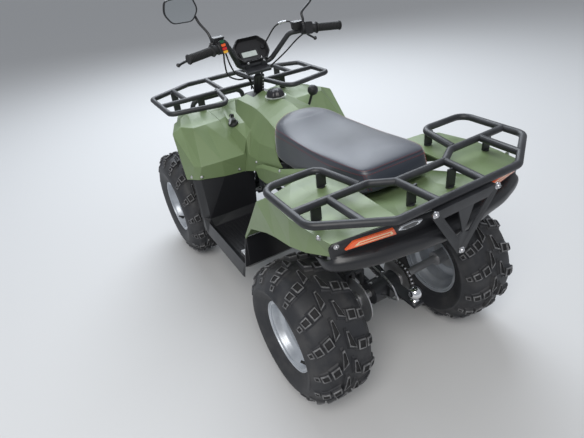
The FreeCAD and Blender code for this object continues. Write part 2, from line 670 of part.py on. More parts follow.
# Shroud round the stem: a black block that fills the opening in the cover
shroud = Part.makeBox(STEM_OPENING_LENGTH - 1, 2 * STEM_OPENING_HALF - 1, 24,
                      front(STEM_OPENING_REAR + 0.5, 0.5 - STEM_OPENING_HALF, 843))
keep_shape("stem_shroud", shroud.cut(rod(stem_point(700), stem_point(930), float(s.stem_radius) + 6.5)))

# Nose cowl between the front fenders, carrying two headlamps
cowl_half_rows = [
    [(-165.8, 0, 836), (-169, 84, 830), (-157.6, 140, 806), (-147.4, 180, 796), (-137.4, 213.2, 795)],
    [(-40, 0, 786), (-44, 84, 782), (-50, 140, 780), (-58, 186, 790), (-60, 213.2, 803)],
    [(268, 0, 700), (268, 90, 694), (266, 130, 692), (264, 160, 691), (262, 189.2, 690)],
    [(290, 0, 560), (288, 86, 556), (284, 120, 552), (280, 146, 550), (276, 170, 548)],
]
cowl_rows = []
for half_row in cowl_half_rows:
    right = [(x, -y, z) for x, y, z in reversed(half_row[1:])]
    cowl_rows.append([front(x, y, z) for x, y, z in right + half_row])
cowl = panel(cowl_rows, -s.panel_wall)
lamp_axis = FreeCAD.Vector(140, 0, 22).normalize()
lamp_seat = front(279.4, 76, 632)
for lamp_side in (1, -1):
    lamp_centre = FreeCAD.Vector(lamp_seat.x, lamp_side * lamp_seat.y, lamp_seat.z)
    cowl = cowl.cut(rod(lamp_centre - lamp_axis * 20, lamp_centre + lamp_axis * 20, 37))
keep_shape("front_cowl", cowl)
keep_pair("headlamps", fused([rod(lamp_seat + lamp_axis * 0.5, lamp_seat + lamp_axis * 20, 46),
                              rod(lamp_seat - lamp_axis * 30, lamp_seat + lamp_axis * 10, 36)]))

# Side panels below the tank cover
side_rows = [
    [(-545, 182, 640), (-540, 188, 628), (-562, 188, 592)],
    [(-604, 180, 668), (-606, 188, 655), (-625, 188, 590)],
    [(-760, 176, 702), (-764, 186, 688), (-756, 184, 628)],
    [(-930, 151.5, 760), (-940, 174, 744), (-900, 176, 690)],
]
side_panel = panel([[front(x, y, z) for x, y, z in row] for row in side_rows], -s.panel_wall)
keep_pair("side_panels", side_panel)

# Rear fenders: the arch front, a sloping deck and a flared outer side
rear_fender_rows = [
    [(352, 205, 500), (352, 300, 502), (354, 398, 505), (344, 402, 498)],
    [(282, 196, 596), (282, 300, 598), (282, 400, 600), (262, 404, 590)],
    [(186, 186, 742), (184, 300, 746), (182, 398, 743), (110, 408, 656)],
    [(130, 176, 800), (118, 290, 802), (118, 384, 780), (40, 412, 680)],
    [(-40, 168, 812), (-40, 270, 806), (-46, 399, 790), (-60, 412, 700)],
    [(-150, 168, 809), (-150, 270, 804), (-150, 390, 792), (-130, 400, 714)],
    [(-276.2, 168, 805.8), (-257.6, 256, 802.3), (-231.4, 378, 791.8), (-219, 368.5, 737)],
]
rear_fender = panel([[rear(x, y, z) for x, y, z in row] for row in rear_fender_rows], s.panel_wall)
keep_pair("rear_fenders", rear_fender)

# Rear deck between the fenders, from under the seat to the tail
deck_half_rows = [
    [(-20, 0, 742), (-20, 90, 742), (-20, 167, 746)],
    [(-150, 0, 770), (-150, 90, 774), (-150, 167, 788)],
    [(-290.2, 0, 805.3), (-287.2, 92, 805.3), (-275.4, 167, 805.8)],
]
deck_rows = []
for half_row in deck_half_rows:
    right = [(x, -y, z) for x, y, z in reversed(half_row[1:])]
    deck_rows.append([rear(x, y, z) for x, y, z in right + half_row])
keep_shape("rear_deck", panel(deck_rows, s.panel_wall))

# Rear apron: black skirt round the tail below the fenders
apron_half_rows = [
    # top edge against the deck, foot of the recess, ledge, roll and lower edge
    [(-297, 0, 805), (-294, 92, 805), (-282.5, 167.5, 805.5), (-263.9, 256, 802), (-237.6, 379.8, 791.5), (-226.5, 369.8, 735)],
    [(-291, 0, 750), (-289, 92, 750), (-279.2, 167.5, 750), (-259.5, 262, 750), (-236.6, 372, 748), (-222, 368, 729)],
    [(-326, 0, 744), (-320, 92, 744), (-306, 167, 744), (-288, 268, 744), (-244, 372, 742), (-200, 374, 720)],
    [(-331, 0, 716), (-325, 92, 716), (-311, 167, 716), (-292, 268, 714), (-240, 382, 712), (-152, 380, 705)],
    [(-308, 0, 690), (-302, 92, 690), (-292, 167, 690), (-270, 260, 690), (-212, 378, 692), (-146, 376, 694)],
]
apron_rows = []
for half_row in apron_half_rows:
    right = [(x, -y, z) for x, y, z in reversed(half_row[1:])]
    apron_rows.append([rear(x, y, z) for x, y, z in right + half_row])
keep_shape("rear_apron", panel(apron_rows, s.panel_wall))


def recess_point(y, z):
    """A point of the flat that carries the lamps, between the top edge and the ledge."""
    return rear(-281 + 0.208 * (y - 167.5) - 0.06 * (z - 780), y, z)


recess_out = (recess_point(300, 760) - recess_point(200, 760)).cross(recess_point(200, 790) - recess_point(200, 760))
recess_out = recess_out.normalize() * (-1 if recess_out.x > 0 else 1)
TAIL_LAMP_OUTLINE = [(342, 768), (318, 789), (200, 793), (190, 772)]
lens = [recess_point(y, z) + recess_out * float(s.seat_gap) for y, z in TAIL_LAMP_OUTLINE]
keep_pair("tail_lamps", lofted([lens, [p + recess_out * 8 for p in lens]]))

# Seat: one long cushion whose nose climbs the tank cover
seat_stations = [
    # distance ahead of the rear axle, bottom, crease height, crown, half width at the crease and at the bottom
    (-96, 790, 818, 824, 128, 118), (-62, 772, 856, 868, 142, 138), (107, 752, 856, 872, 150, 150),
    (250, 726, 822, 838, 148, 152), (342, 716, 812, 832, 146, 150), (430, 716, 812, 860, 142, 146),
    (490, 724, 812, 886, 128, 128), (503, 762, 815, 878, 96, 96),
]
seat_rings = []
for x, bottom, crease, crown, wide, foot in seat_stations:
    half_ring = [(0, crown), (wide * 0.6, crown - (crown - crease) * 0.25), (wide, crease), (foot, bottom + 14), (foot - 14, bottom)]
    ring = [rear(x, y, z) for y, z in half_ring] + [rear(x, -y, z) for y, z in reversed(half_ring[1:])]
    seat_rings.append(ring)
keep_shape("seat", lofted(seat_rings))

# Footwells: mudguard wall, floor tray with an upturned lip, and the wall ahead of the rear wheel
footwell_rows = [
    [(-420, 152, 566), (-420, 198, 571.6), (-420, 300, 581.6), (-397, 404, 590.4), (-375, 427, 590), (-367, 432.5, 589.4)],
    [(-390, 152, 372), (-390, 198, 372), (-390, 300, 372), (-390, 400, 374), (-372, 426, 380), (-362, 430, 330)],
    [(-414, 152, 335), (-414, 198, 335), (-414, 300, 335), (-412, 396, 335), (-408, 416, 360), (-404, 430, 306)],
    [(-796, 142, 335), (-796, 198, 335), (-796, 300, 335), (-796, 396, 335), (-796, 416, 360), (-796, 430, 306)],
    [(-822, 196, 362), (-822, 202, 362), (-822, 300, 362), (-822, 402, 364), (-818, 422, 362), (-810, 431, 304)],
    [(-822, 200, 496), (-822, 206, 496), (-822, 300, 498), (-820, 397, 500), (-817, 400, 496), (-814, 402, 490)],
]
footwell = panel([[front(x, y, z) for x, y, z in row] for row in footwell_rows], -s.panel_wall)
keep_pair("footwells", footwell)
keep_pair("foot_pegs", fused([Part.makeBox(46, 290, 22, rear(418, 101, 340.4)), Part.makeBox(30, 30, 90, rear(426, 101, 273.2))]))

# Racks
def rack_foot(carrier, x, y, tube_height):
    """A round pad that lies on a moulding, and the flat leg from it up to the rack's tube."""
    at, normal = seat_on(carrier, x, y)
    pad = rod(at + normal * 0.8, at + normal * 5, 12)
    leg = Part.makeBox(6, 34, tube_height - at.z - 3, point(x - 3, y - 17, at.z + 3))
    low = rod(at - normal * 30, at + normal * 3, 60)
    return [pad, leg.cut(low)]


rear_rack_z, front_rack_z = float(s.rear_rack_height), float(s.front_rack_height)
reach, wing = float(s.rear_rack_reach), float(s.rack_half_width)
forward = float(s.rear_rack_front)
rack = []
for sign in (1, -1):
    side_route = [rear(-reach, 0, rear_rack_z), rear(-reach, sign * 234, rear_rack_z), rear(-204, sign * wing, rear_rack_z),
                  rear(forward, sign * wing, rear_rack_z), rear(forward, sign * (wing - 200), rear_rack_z),
                  rear(-120, sign * 192, rear_rack_z)]
    rack.append(tube(side_route, s.rack_tube, s.rack_bend))
    cross_route = [rear(-124, sign * wing, rear_rack_z), rear(-128, sign * 170, rear_rack_z),
                   rear(-172, sign * 100, rear_rack_z), rear(-172, 0, rear_rack_z)]
    rack.append(tube(cross_route, s.rack_tube, 30))
    rack.append(rod(rear(-128, sign * 308, rear_rack_z), rear(-284, sign * 304, rear_rack_z), s.rack_tube))
    rack.append(rod(rear(-172, sign * 98, rear_rack_z), rear(-reach, sign * 88, rear_rack_z), s.rack_tube))
    rack += rack_foot(nodes["rear_deck"].Shape, rear(-219, 0, 0).x, sign * 80, rear_rack_z)
    rack += rack_foot(nodes["rear_fenders"].Shape, rear(25, 0, 0).x, sign * (wing - 196), rear_rack_z)
    rack += rack_foot(nodes["rear_fenders"].Shape, rear(-125, 0, 0).x, sign * 350, rear_rack_z)
keep_shape("rear_rack", fused(rack))

CROSS_RADIUS, RUNG_RADIUS = 11.7, 11.4
front_reach = float(s.front_rack_reach)
front_back = float(s.front_rack_rear)
rack = []
for sign in (1, -1):
    side_route = [front(front_reach + 20, 0, front_rack_z), front(front_reach + 22, sign * 200, front_rack_z),
                  front(65, sign * wing, front_rack_z), front(-front_back, sign * wing, front_rack_z),
                  front(-285, sign * 184, front_rack_z), front(-240, sign * 158, front_rack_z), front(-56, sign * 128, front_rack_z)]
    rack.append(tube(side_route, s.rack_tube, 30))
    rack.append(rod(front(-83, sign * 300, front_rack_z), front(120, sign * 300, front_rack_z), RUNG_RADIUS))
    rack.append(rod(front(-83, sign * 104, front_rack_z), front(front_reach + 20, sign * 94, front_rack_z), RUNG_RADIUS))
    for x, y in ((-90, 230), (100, 304)):
        rack += rack_foot(nodes["front_fenders"].Shape, front(x, 0, 0).x, sign * y, front_rack_z)
rack.append(rod(front(-83, -wing, front_rack_z), front(-83, wing, front_rack_z), CROSS_RADIUS))
keep_shape("front_rack", joined(rack))

# Triangular plate bracket under the rear rack
plate_x = -350
outline = [(-128, 844.7), (128, 844.7), (128, 826), (14, 658), (-14, 658), (-128, 826)]
plate = Part.Face(Part.makePolygon([rear(plate_x, y, z) for y, z in outline + outline[:1]])).extrude(FreeCAD.Vector(5, 0, 0))
window = [(-86, 812), (-30, 812), (-4, 730), (-22, 722)]
for sign in (1, -1):
    hole = Part.Face(Part.makePolygon([rear(plate_x - 5, sign * y, z) for y, z in window + window[:1]]))
    plate = plate.cut(hole.extrude(FreeCAD.Vector(20, 0, 0)))
flange = Part.makeBox(30, 230, 5, rear(plate_x, -115, 839.7))
keep_shape("rear_plate", fused([plate, flange]))

# Front bumper: a hoop from the lower rails round the nose
bumper_x = 350 - 14
bumper = []
for sign in (1, -1):
    route = [front(154, sign * 83, 362), front(bumper_x, sign * 110, 345), front(bumper_x - 6, sign * 200, 560),
             front(bumper_x - 30, sign * 150, 730), front(bumper_x - 30, 0, 730)]
    bumper.append(tube(route, 14, 50))
for x, z, wide in ((bumper_x, 400, 128), (bumper_x - 4, 520, 176)):
    bumper.append(rod(front(x, -wide, z), front(x, wide, z), 14))
keep_shape("front_bumper", fused(bumper))

# Controls on the cover: fuel cap, key switch, gear lever
cap_profile = [(0, 0), (s.cap_radius - 12, 0), (s.cap_radius - 12, 8), (s.cap_radius, 9), (s.cap_radius, 16),
               (s.cap_radius - 8, 34), (s.cap_radius - 22, 41), (0, 42)]


def turned(points, x, y, z, axis=None):
    """A turned piece; points are (radius, height) corners, standing on the axis."""
    axis = axis or FreeCAD.Vector(0, 0, 1)
    corners = [FreeCAD.Vector(float(r), 0, float(h)) for r, h in points]
    face = Part.Face(Part.makePolygon(corners + corners[:1]))
    body = face.revolve(FreeCAD.Vector(0, 0, 0), FreeCAD.Vector(0, 0, 1), 360)
    body.Placement = FreeCAD.Placement(point(x, y, z), FreeCAD.Rotation(FreeCAD.Vector(0, 0, 1), axis))
    return body


cap_at = front(-446, 0, 880)
keep_shape("fuel_cap", turned(cap_profile, cap_at.x, cap_at.y, cap_at.z))
key_at, key_axis = seat_on(nodes["tank_cover"].Shape, front(-340, 0, 0).x, 180)
key_at += key_axis * float(s.seat_gap)
switch = turned([(0, 0), (24, 0), (24, 8), (17, 12), (17, 26), (0, 26)], key_at.x, key_at.y, key_at.z, key_axis)
keep_shape("ignition_switch", switch)
lever_foot, boot_axis = seat_on(cover, front(-474, 0, 0).x, -138)
lever_foot += boot_axis * 0.9
lever_top = front(-520, -150, 893)
lever_axis = (lever_top - lever_foot).normalize()
lever_length = (lever_top - lever_foot).Length
boot = turned([(0, 0), (15, 0), (15, 4), (13, 7), (11, 16), (0, 16)], lever_foot.x, lever_foot.y, lever_foot.z, boot_axis)
knob = [(0, 6), (6, 6), (6, lever_length - 22), (12, lever_length - 20), (22, lever_length - 8), (24, lever_length + 3),
        (20, lever_length + 15), (9, lever_length + 22), (0, lever_length + 23)]
stick = turned(knob, lever_foot.x, lever_foot.y, lever_foot.z, lever_axis)
keep_shape("gear_lever", fused([boot, stick]).cut(cover))

# Front suspension: an upper and a lower arm each side, and a spring strut
kp_y, kp_half = float(s.kingpin_half_track), float(s.kingpin_half_height)
low_ball, high_ball = float(front_z) - kp_half, float(front_z) + kp_half
PIN = 7
for name, z, pickup_z, spread in (("lower_arms", low_ball - 25, low, LOWER_SPREAD), ("upper_arms", high_ball + 25, UPPER_PICKUP, UPPER_SPREAD)):
    wishbone = [Part.makeCylinder(17, 18, front(0, kp_y, z - 9))]
    for reach_x in (spread, -spread):
        wishbone.append(rod(front(0, kp_y - 8, z), front(reach_x, PICKUP_Y + 6, pickup_z), 11))
        wishbone.append(rod(front(reach_x - 22, PICKUP_Y, pickup_z), front(reach_x + 22, PICKUP_Y, pickup_z), 12))
    if z < high_ball:
        wishbone.append(rod(front(-34, 236, z + 29), front(34, 236, z + 29), 8))
    pin_hole = Part.makeCylinder(PIN + float(s.running_gap), 60, front(0, kp_y, z - 30))
    keep_pair("front_" + name, fused(wishbone).cut(pin_hole))


def spring_strut(foot, top, body_radius, coil_radius):
    """A damper with its coils drawn as rings, between two eyes."""
    along = (top - foot).normalize()
    length = (top - foot).Length
    strut = [rod(foot, top, 9), rod(foot + along * 34, foot + along * length * 0.58, body_radius)]
    for eye in (foot, top):
        strut.append(rod(eye - FreeCAD.Vector(14, 0, 0), eye + FreeCAD.Vector(14, 0, 0), 12))
    for coil in range(8):
        start = foot + along * (52 + (length - 112) * coil / 7)
        strut.append(rod(start, start + along * 11, coil_radius))
    return fused(strut)


keep_pair("front_shocks", spring_strut(front(0, 236, 226.4), front(0, SHOCK_TOP_Y, SHOCK_TOP_Z), 20, 31))
keep_shape("rear_shock", spring_strut(rear(190, 0, 343.3), rear(262, 0, 662.7), 22, 36))

# Knuckles: an upright between the ball joints, a spindle for the hub, and a steering arm behind
steering_arm, pitman_spread = float(s.steering_arm), float(s.pitman_spread)
arm_low, arm_high = 262, 274
for side, sign in (("left", 1), ("right", -1)):
    z = float(front_z)
    hub_end = float(front_wheel_y) + 42
    hub_face = float(s.front_rim_face) - FRONT_DISC_INSET - FRONT_HUB_IN - float(s.seat_gap)
    knuckle = [Part.makeBox(44, 34, 2 * kp_half - 26, front(-22, kp_y - 17, z - kp_half + 13)),
               Part.makeCylinder(16, 2 * kp_half + 14, front(0, kp_y, z - kp_half - 7)),
               Part.makeCylinder(PIN, 2 * kp_half + 70, front(0, kp_y, z - kp_half - 35)),
               Part.makeCylinder(float(s.spindle_radius), hub_end - kp_y, front(0, kp_y, z), FreeCAD.Vector(0, 1, 0)),
               Part.makeCylinder(20, hub_face - kp_y - 16, front(0, kp_y + 16, z), FreeCAD.Vector(0, 1, 0)),
               Part.makeBox(steering_arm, 26, arm_high - arm_low, front(-steering_arm, kp_y + pitman_spread - 13, arm_low)),
               Part.makeCylinder(14, arm_high - arm_low, front(-steering_arm, kp_y + pitman_spread, arm_low))]
    knuckle = fused(knuckle).cut(Part.makeCylinder(5.5, 40, front(-steering_arm, kp_y + pitman_spread, arm_low - 10)))
    keep_shape("knuckle_" + side, knuckle if sign > 0 else mirrored(knuckle))

# Steering stem with its pitman arm, and a tie rod each side
stem_foot, stem_top = stem_point(262), stem_point(982)
PITMAN_Z = 304
pitman_centre = stem_point(PITMAN_Z)
parts = [rod(stem_foot, stem_top, float(s.stem_radius))]
pitman = Part.makeBox(steering_arm + 34, 2 * pitman_spread + 30, 9,
                      FreeCAD.Vector(-steering_arm - 14, -pitman_spread - 15, -4.5))
pitman = pitman.fuse([Part.makeCylinder(6, 24, FreeCAD.Vector(-steering_arm, k * pitman_spread, 0)) for k in (1, -1)])
turn = FreeCAD.Rotation(FreeCAD.Vector(0, 1, 0), -float(s.stem_rake))
pitman.Placement = FreeCAD.Placement(pitman_centre, turn)
parts.append(pitman)
head_plate = Part.makeBox(92, 120, 12, FreeCAD.Vector(-24, -60, 0))
head_plate.Placement = FreeCAD.Placement(stem_point(975), turn)
parts.append(head_plate)
keep_shape("steering_stem", fused(parts))

EYE_LOW, EYE_HIGH = 9, 22
for side, sign in (("left", 1), ("right", -1)):
    eye = Part.makeCylinder(11, EYE_HIGH - EYE_LOW, FreeCAD.Vector(-steering_arm, sign * pitman_spread, EYE_LOW))
    eye = eye.cut(Part.makeCylinder(6 + float(s.running_gap), 40, FreeCAD.Vector(-steering_arm, sign * pitman_spread, -10)))
    eye.Placement = FreeCAD.Placement(pitman_centre, turn)
    middle = FreeCAD.Vector(-steering_arm, sign * pitman_spread, (EYE_LOW + EYE_HIGH) / 2)
    inner_centre = FreeCAD.Placement(pitman_centre, turn).multVec(middle)
    outer_centre = front(-steering_arm, sign * (kp_y + pitman_spread), arm_high + 9)
    direction = (outer_centre - inner_centre).normalize()
    tie = [eye, rod(inner_centre + direction * 9, outer_centre - direction * 9, s.tie_rod_radius),
           Part.makeCylinder(13, 14, outer_centre - FreeCAD.Vector(0, 0, 7)),
           Part.makeCylinder(4, 20, outer_centre - FreeCAD.Vector(0, 0, 21))]
    keep_shape("tie_rod_" + side, fused(tie))

# Handlebar, grips, controls, instrument and mirrors
bar_x = front(-281, 0, 0).x
bar_z, grip_z, bar_end = float(s.bar_height), float(s.bar_grip_height), float(s.bar_half_width)


def bar_point(x, y, z):
    return point(bar_x + x, y, bar_z + z)


half_route = [bar_point(-147, bar_end - 126, grip_z - bar_z + 5), bar_point(-78, 150, 107), bar_point(2, 80, -8)]
grip_end = bar_point(-172, bar_end, grip_z - bar_z - 4)
route = [grip_end] + half_route + [FreeCAD.Vector(p.x, -p.y, p.z) for p in reversed(half_route)]
route.append(FreeCAD.Vector(grip_end.x, -grip_end.y, grip_end.z))
bar = [tube(route, s.bar_radius, 40)]
for sign in (1, -1):
    clamp = Part.makeBox(34, 26, 25, FreeCAD.Vector(8, sign * 40 - 13, 12))
    clamp.Placement = FreeCAD.Placement(stem_point(975), turn)
    bar.append(clamp)
handlebar = fused(bar).cut(nodes["steering_stem"].Shape)
keep_shape("handlebar", handlebar)
for side, sign in (("left", 1), ("right", -1)):
    def across(p):
        return p if sign > 0 else FreeCAD.Vector(p.x, -p.y, p.z)
    inner_radius = float(s.bar_radius)
    direction = (across(grip_end) - across(half_route[0])).normalize()
    grip_start = across(grip_end) - direction * 112
    grip = rod(grip_start, across(grip_end) + direction * 5, 16.5).fuse(rod(grip_start, grip_start + direction * 5, 24))
    grip = grip.cut(rod(grip_start - direction, across(grip_end), inner_radius))
    if sign > 0:
        keep_pair("grips", grip)
    box_at = grip_start - direction * 44
    pod = rod(box_at - direction * 12, box_at + direction * 40, 25)
    reservoir = Part.makeBox(46, 62, 30, box_at + FreeCAD.Vector(-4, -50 if sign > 0 else -12, 18))
    lever_root = box_at + FreeCAD.Vector(34, 0, -4)
    lever_tip = across(grip_end) + FreeCAD.Vector(62, 0, -14)
    lever_parts = [pod, reservoir, tube([box_at + FreeCAD.Vector(10, 0, -2), lever_root + FreeCAD.Vector(16, sign * 26, -4), lever_tip], 6, 30),
                   Part.makeSphere(9, lever_tip)]
    control = fused(lever_parts).cut(nodes["handlebar"].Shape)
    keep_shape("control_" + side, control)
    mirror_foot = FreeCAD.Vector(box_at.x + 6, box_at.y, box_at.z + 48)
    elbow = mirror_foot + FreeCAD.Vector(0, 0, 40)
    glass_centre = point(190 - 583.5 + float(front_x), sign * 330, 1290)
    stalk = tube([mirror_foot, elbow, glass_centre + FreeCAD.Vector(10, -sign * 40, -30), glass_centre + FreeCAD.Vector(14, 0, 0)], 5, 18)
    face = [(-70, -8), (-40, -48), (44, -46), (70, -6), (58, 40), (-52, 46)]
    back_ring = [glass_centre + FreeCAD.Vector(24, sign * u * 0.6, w * 0.6) for u, w in face]
    mid_ring = [glass_centre + FreeCAD.Vector(8, sign * u, w) for u, w in face]
    front_ring = [glass_centre + FreeCAD.Vector(-4, sign * u, w) for u, w in face]
    if sign > 0:
        keep_pair("mirrors", stalk.fuse(lofted([back_ring, mid_ring, front_ring])))

# Control cables: two from each control, round the front of the instrument and into the stem
cable_routes = [
    [(-125, 228, 140), (-60, 228, 152), (62, 140, 84), (112, 70, -30), (44, 14, -66), (-1, 6, -80)],
    [(-142, 207, 108), (-118, 207, 60), (-20, 150, 10), (36, 60, -60), (30, 14, -100), (-1, 8, -112)],
]
cables = []
for sign, side in ((1, "left"), (-1, "right")):
    for route in cable_routes:
        cable = tube([bar_point(x, sign * y, z) for x, y, z in route], 3.5, 14)
        cables.append(cable.cut(nodes["control_" + side].Shape).cut(nodes["steering_stem"].Shape).cut(handlebar))
keep_shape("cables", Part.makeCompound(cables))

panel_centre = bar_point(22, 0, 44)
outline = [(-60, -52), (60, -52), (86, -20), (86, 30), (52, 66), (-52, 66), (-86, 30), (-86, -20)]
tilt = FreeCAD.Rotation(FreeCAD.Vector(0, 1, 0), 38)
rings = []
for depth, scale in ((44, 0.55), (26, 0.96), (0, 1.0), (-14, 0.96)):
    rings.append([panel_centre + tilt.multVec(FreeCAD.Vector(depth, y * scale, z * scale)) for y, z in outline])
instrument = lofted(rings)
keep_shape("instrument", instrument.cut(handlebar).cut(nodes["steering_stem"].Shape))


# Every piece is sound before any file is written
doc.recompute()
for thing in doc.Objects:
    if "Invalid" in thing.State or "Error" in thing.State:
        raise RuntimeError("%s did not recompute: %s" % (thing.Name, thing.State))
os.makedirs("parts", exist_ok=True)
for name, thing in sorted(nodes.items()):
    shape = thing.Shape
    if shape.isNull() or not shape.isValid() or shape.Volume <= 0:
        raise RuntimeError("%s has no sound shape" % name)
for name, thing in sorted(nodes.items()):
    thing.Shape.exportStep("parts/%s.step" % name)
print("%d pieces written" % len(nodes))
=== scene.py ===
import json
import math

import bmesh
import bpy
from mathutils import Matrix, Vector
from mathutils.bvhtree import BVHTree

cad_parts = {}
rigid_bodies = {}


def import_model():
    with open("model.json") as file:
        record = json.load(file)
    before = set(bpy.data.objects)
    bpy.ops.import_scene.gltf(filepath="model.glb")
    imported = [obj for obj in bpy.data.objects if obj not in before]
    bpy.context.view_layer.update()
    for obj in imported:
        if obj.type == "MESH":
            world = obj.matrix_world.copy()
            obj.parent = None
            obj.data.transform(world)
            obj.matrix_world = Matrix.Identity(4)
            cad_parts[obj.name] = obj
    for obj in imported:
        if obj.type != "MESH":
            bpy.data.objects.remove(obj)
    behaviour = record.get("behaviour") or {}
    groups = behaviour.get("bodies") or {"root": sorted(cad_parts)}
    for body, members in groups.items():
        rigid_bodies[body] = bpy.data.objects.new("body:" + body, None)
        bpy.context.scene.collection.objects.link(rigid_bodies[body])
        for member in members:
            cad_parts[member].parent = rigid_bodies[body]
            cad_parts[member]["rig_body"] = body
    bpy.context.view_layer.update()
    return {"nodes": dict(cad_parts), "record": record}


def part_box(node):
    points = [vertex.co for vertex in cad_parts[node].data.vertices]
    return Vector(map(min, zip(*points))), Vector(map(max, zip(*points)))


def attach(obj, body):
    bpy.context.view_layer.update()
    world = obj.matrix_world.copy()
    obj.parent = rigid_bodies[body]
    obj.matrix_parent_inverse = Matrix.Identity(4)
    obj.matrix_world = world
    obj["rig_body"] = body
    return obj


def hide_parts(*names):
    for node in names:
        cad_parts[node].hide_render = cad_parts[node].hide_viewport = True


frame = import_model()
nodes = frame["nodes"]

# Quad bike: a steel tube frame under faceted green mouldings, on four balloon tyres.
# +X is forwards, +Y is the rider's left, +Z is up. Lengths are in metres.


# Camera: a phone held at head height behind the left rear wheel, looking down at the seat.
CAMERA_AT = Vector((-1.6247, 0.8978, 1.5041))
CAMERA_HEADING, CAMERA_PITCH, CAMERA_ROLL = -27.180, 32.795, -6.914
CAMERA_LENS, CAMERA_SENSOR = 27.60, 36.0
PICTURE = (584, 438)

heading, pitch, roll = (math.radians(a) for a in (CAMERA_HEADING, CAMERA_PITCH, CAMERA_ROLL))
looking = Vector((math.cos(heading) * math.cos(pitch), math.sin(heading) * math.cos(pitch), -math.sin(pitch)))
level_right = looking.cross(Vector((0, 0, 1))).normalized()
level_up = level_right.cross(looking)
right = level_right * math.cos(roll) + level_up * math.sin(roll)
up = level_up * math.cos(roll) - level_right * math.sin(roll)
camera_data = bpy.data.cameras.new("camera")
camera_data.lens = CAMERA_LENS
camera_data.sensor_width = CAMERA_SENSOR
camera = bpy.data.objects.new("camera", camera_data)
bpy.context.scene.collection.objects.link(camera)
camera.matrix_world = Matrix.Translation(CAMERA_AT) @ Matrix((right, up, -looking)).transposed().to_4x4()
bpy.context.scene.camera = camera


# Studio: a pale floor, an even pale sky and two large soft lamps, as under light cloud.
FLOOR_SIZE = 60.0
SKY_COLOUR, SKY_STRENGTH = (0.80, 0.84, 0.90, 1), 0.46
LAMPS = {
    # place, what it points at, size, power, colour
    "key_lamp": ((-2.6, 2.0, 3.8), (0, 0, 0.5), 2.6, 115, (1.0, 0.98, 0.95)),
    "sky_lamp": ((2.9, -1.3, 3.9), (0, 0, 0.6), 4.6, 240, (0.87, 0.93, 1.0)),
}
bpy.context.scene.view_settings.view_transform = "Standard"

floor_mesh = bmesh.new()
bmesh.ops.create_grid(floor_mesh, x_segments=1, y_segments=1, size=FLOOR_SIZE / 2)
floor_data = bpy.data.meshes.new("floor")
floor_mesh.to_mesh(floor_data)
floor_mesh.free()
floor = bpy.data.objects.new("floor", floor_data)
bpy.context.scene.collection.objects.link(floor)

world = bpy.data.worlds.new("sky")
bpy.context.scene.world = world
world.use_nodes = True
background = world.node_tree.nodes["Background"]
background.inputs["Color"].default_value = SKY_COLOUR
background.inputs["Strength"].default_value = SKY_STRENGTH


def soft_lamp(name, at, towards, size, power, colour):
    lamp = bpy.data.lights.new(name, "AREA")
    lamp.color = colour
    lamp.shape = "DISK"
    lamp.size = size
    lamp.energy = power
    holder = bpy.data.objects.new(name, lamp)
    bpy.context.scene.collection.objects.link(holder)
    holder.location = at
    holder.rotation_euler = (Vector(towards) - Vector(at)).to_track_quat("-Z", "Y").to_euler()


for name, details in LAMPS.items():
    soft_lamp(name, *details)


# Every finish is one Principled shader. Sums on its values are written as expressions.
# Sockets of a Mix node that mixes colours
MIX_SHARE, MIX_LOW, MIX_HIGH, MIX_COLOUR = 0, 6, 7, 2


class Wire:
    """The output of a node, which takes part in sums."""

    def __init__(self, finish, socket):
        self.finish = finish
        self.socket = socket

    def sum(self, operation, *values):
        return self.finish.node("ShaderNodeMath", {"operation": operation}, dict(enumerate(values)))

    def __mul__(self, other):
        return self.sum("MULTIPLY", self, other)

    def __radd__(self, other):
        return self.sum("ADD", other, self)

    def step(self, low, high):
        """0 below low, 1 above high, and smooth between them."""
        settings = {"interpolation_type": "SMOOTHSTEP"}
        values = {"Value": self, "From Min": low, "From Max": high}
        return self.finish.node("ShaderNodeMapRange", settings, values)


class Finish:
    """One material round a Principled shader."""

    def __init__(self, name, colour, roughness, **sockets):
        self.material = bpy.data.materials.new(name)
        self.material.use_nodes = True
        self.tree = self.material.node_tree
        self.shader = self.tree.nodes["Principled BSDF"]
        self.place = self.node("ShaderNodeTexCoord", output="Object")
        self.put("Base Color", (*colour, 1))
        self.put("Roughness", roughness)
        for socket, value in sockets.items():
            self.put(socket.replace("_", " "), value)

    def node(self, kind, settings=None, values=None, output=0):
        made = self.tree.nodes.new(kind)
        for setting, value in (settings or {}).items():
            setattr(made, setting, value)
        for socket, value in (values or {}).items():
            self.feed(made.inputs[socket], value)
        return Wire(self, made.outputs[output])

    def feed(self, socket, value):
        if isinstance(value, Wire):
            self.tree.links.new(value.socket, socket)
        else:
            socket.default_value = value

    def put(self, socket, value):
        self.feed(self.shader.inputs[socket], value)

    def noise(self, scale, detail=3.0, roughness=0.5):
        values = {"Vector": self.place, "Scale": scale, "Detail": detail, "Roughness": roughness}
        return self.node("ShaderNodeTexNoise", None, values)

    def cells(self, scale, feature="F1"):
        return self.node("ShaderNodeTexVoronoi", {"feature": feature}, {"Vector": self.place, "Scale": scale})

    def tones(self, low, high, share):
        """The colour runs from low to high."""
        values = {MIX_SHARE: share, MIX_LOW: (*low, 1), MIX_HIGH: (*high, 1)}
        mixed = self.node("ShaderNodeMix", {"data_type": "RGBA"}, values, output=MIX_COLOUR)
        self.put("Base Color", mixed)

    def dull(self, wear, low, span):
        """The roughness runs from low to low + span."""
        self.put("Roughness", low + wear * span)

    def bump(self, height, depth, strength=1.0):
        values = {"Height": height, "Distance": depth, "Strength": strength}
        self.put("Normal", self.node("ShaderNodeBump", None, values))

    def grain(self, scale, detail, depth, strength):
        """A fine noise as bump."""
        self.bump(self.noise(scale, detail), depth, strength)
        return self


floor_finish = Finish("floor_paper", (0.62, 0.62, 0.62), 0.9)
floor_data.materials.append(floor_finish.material)


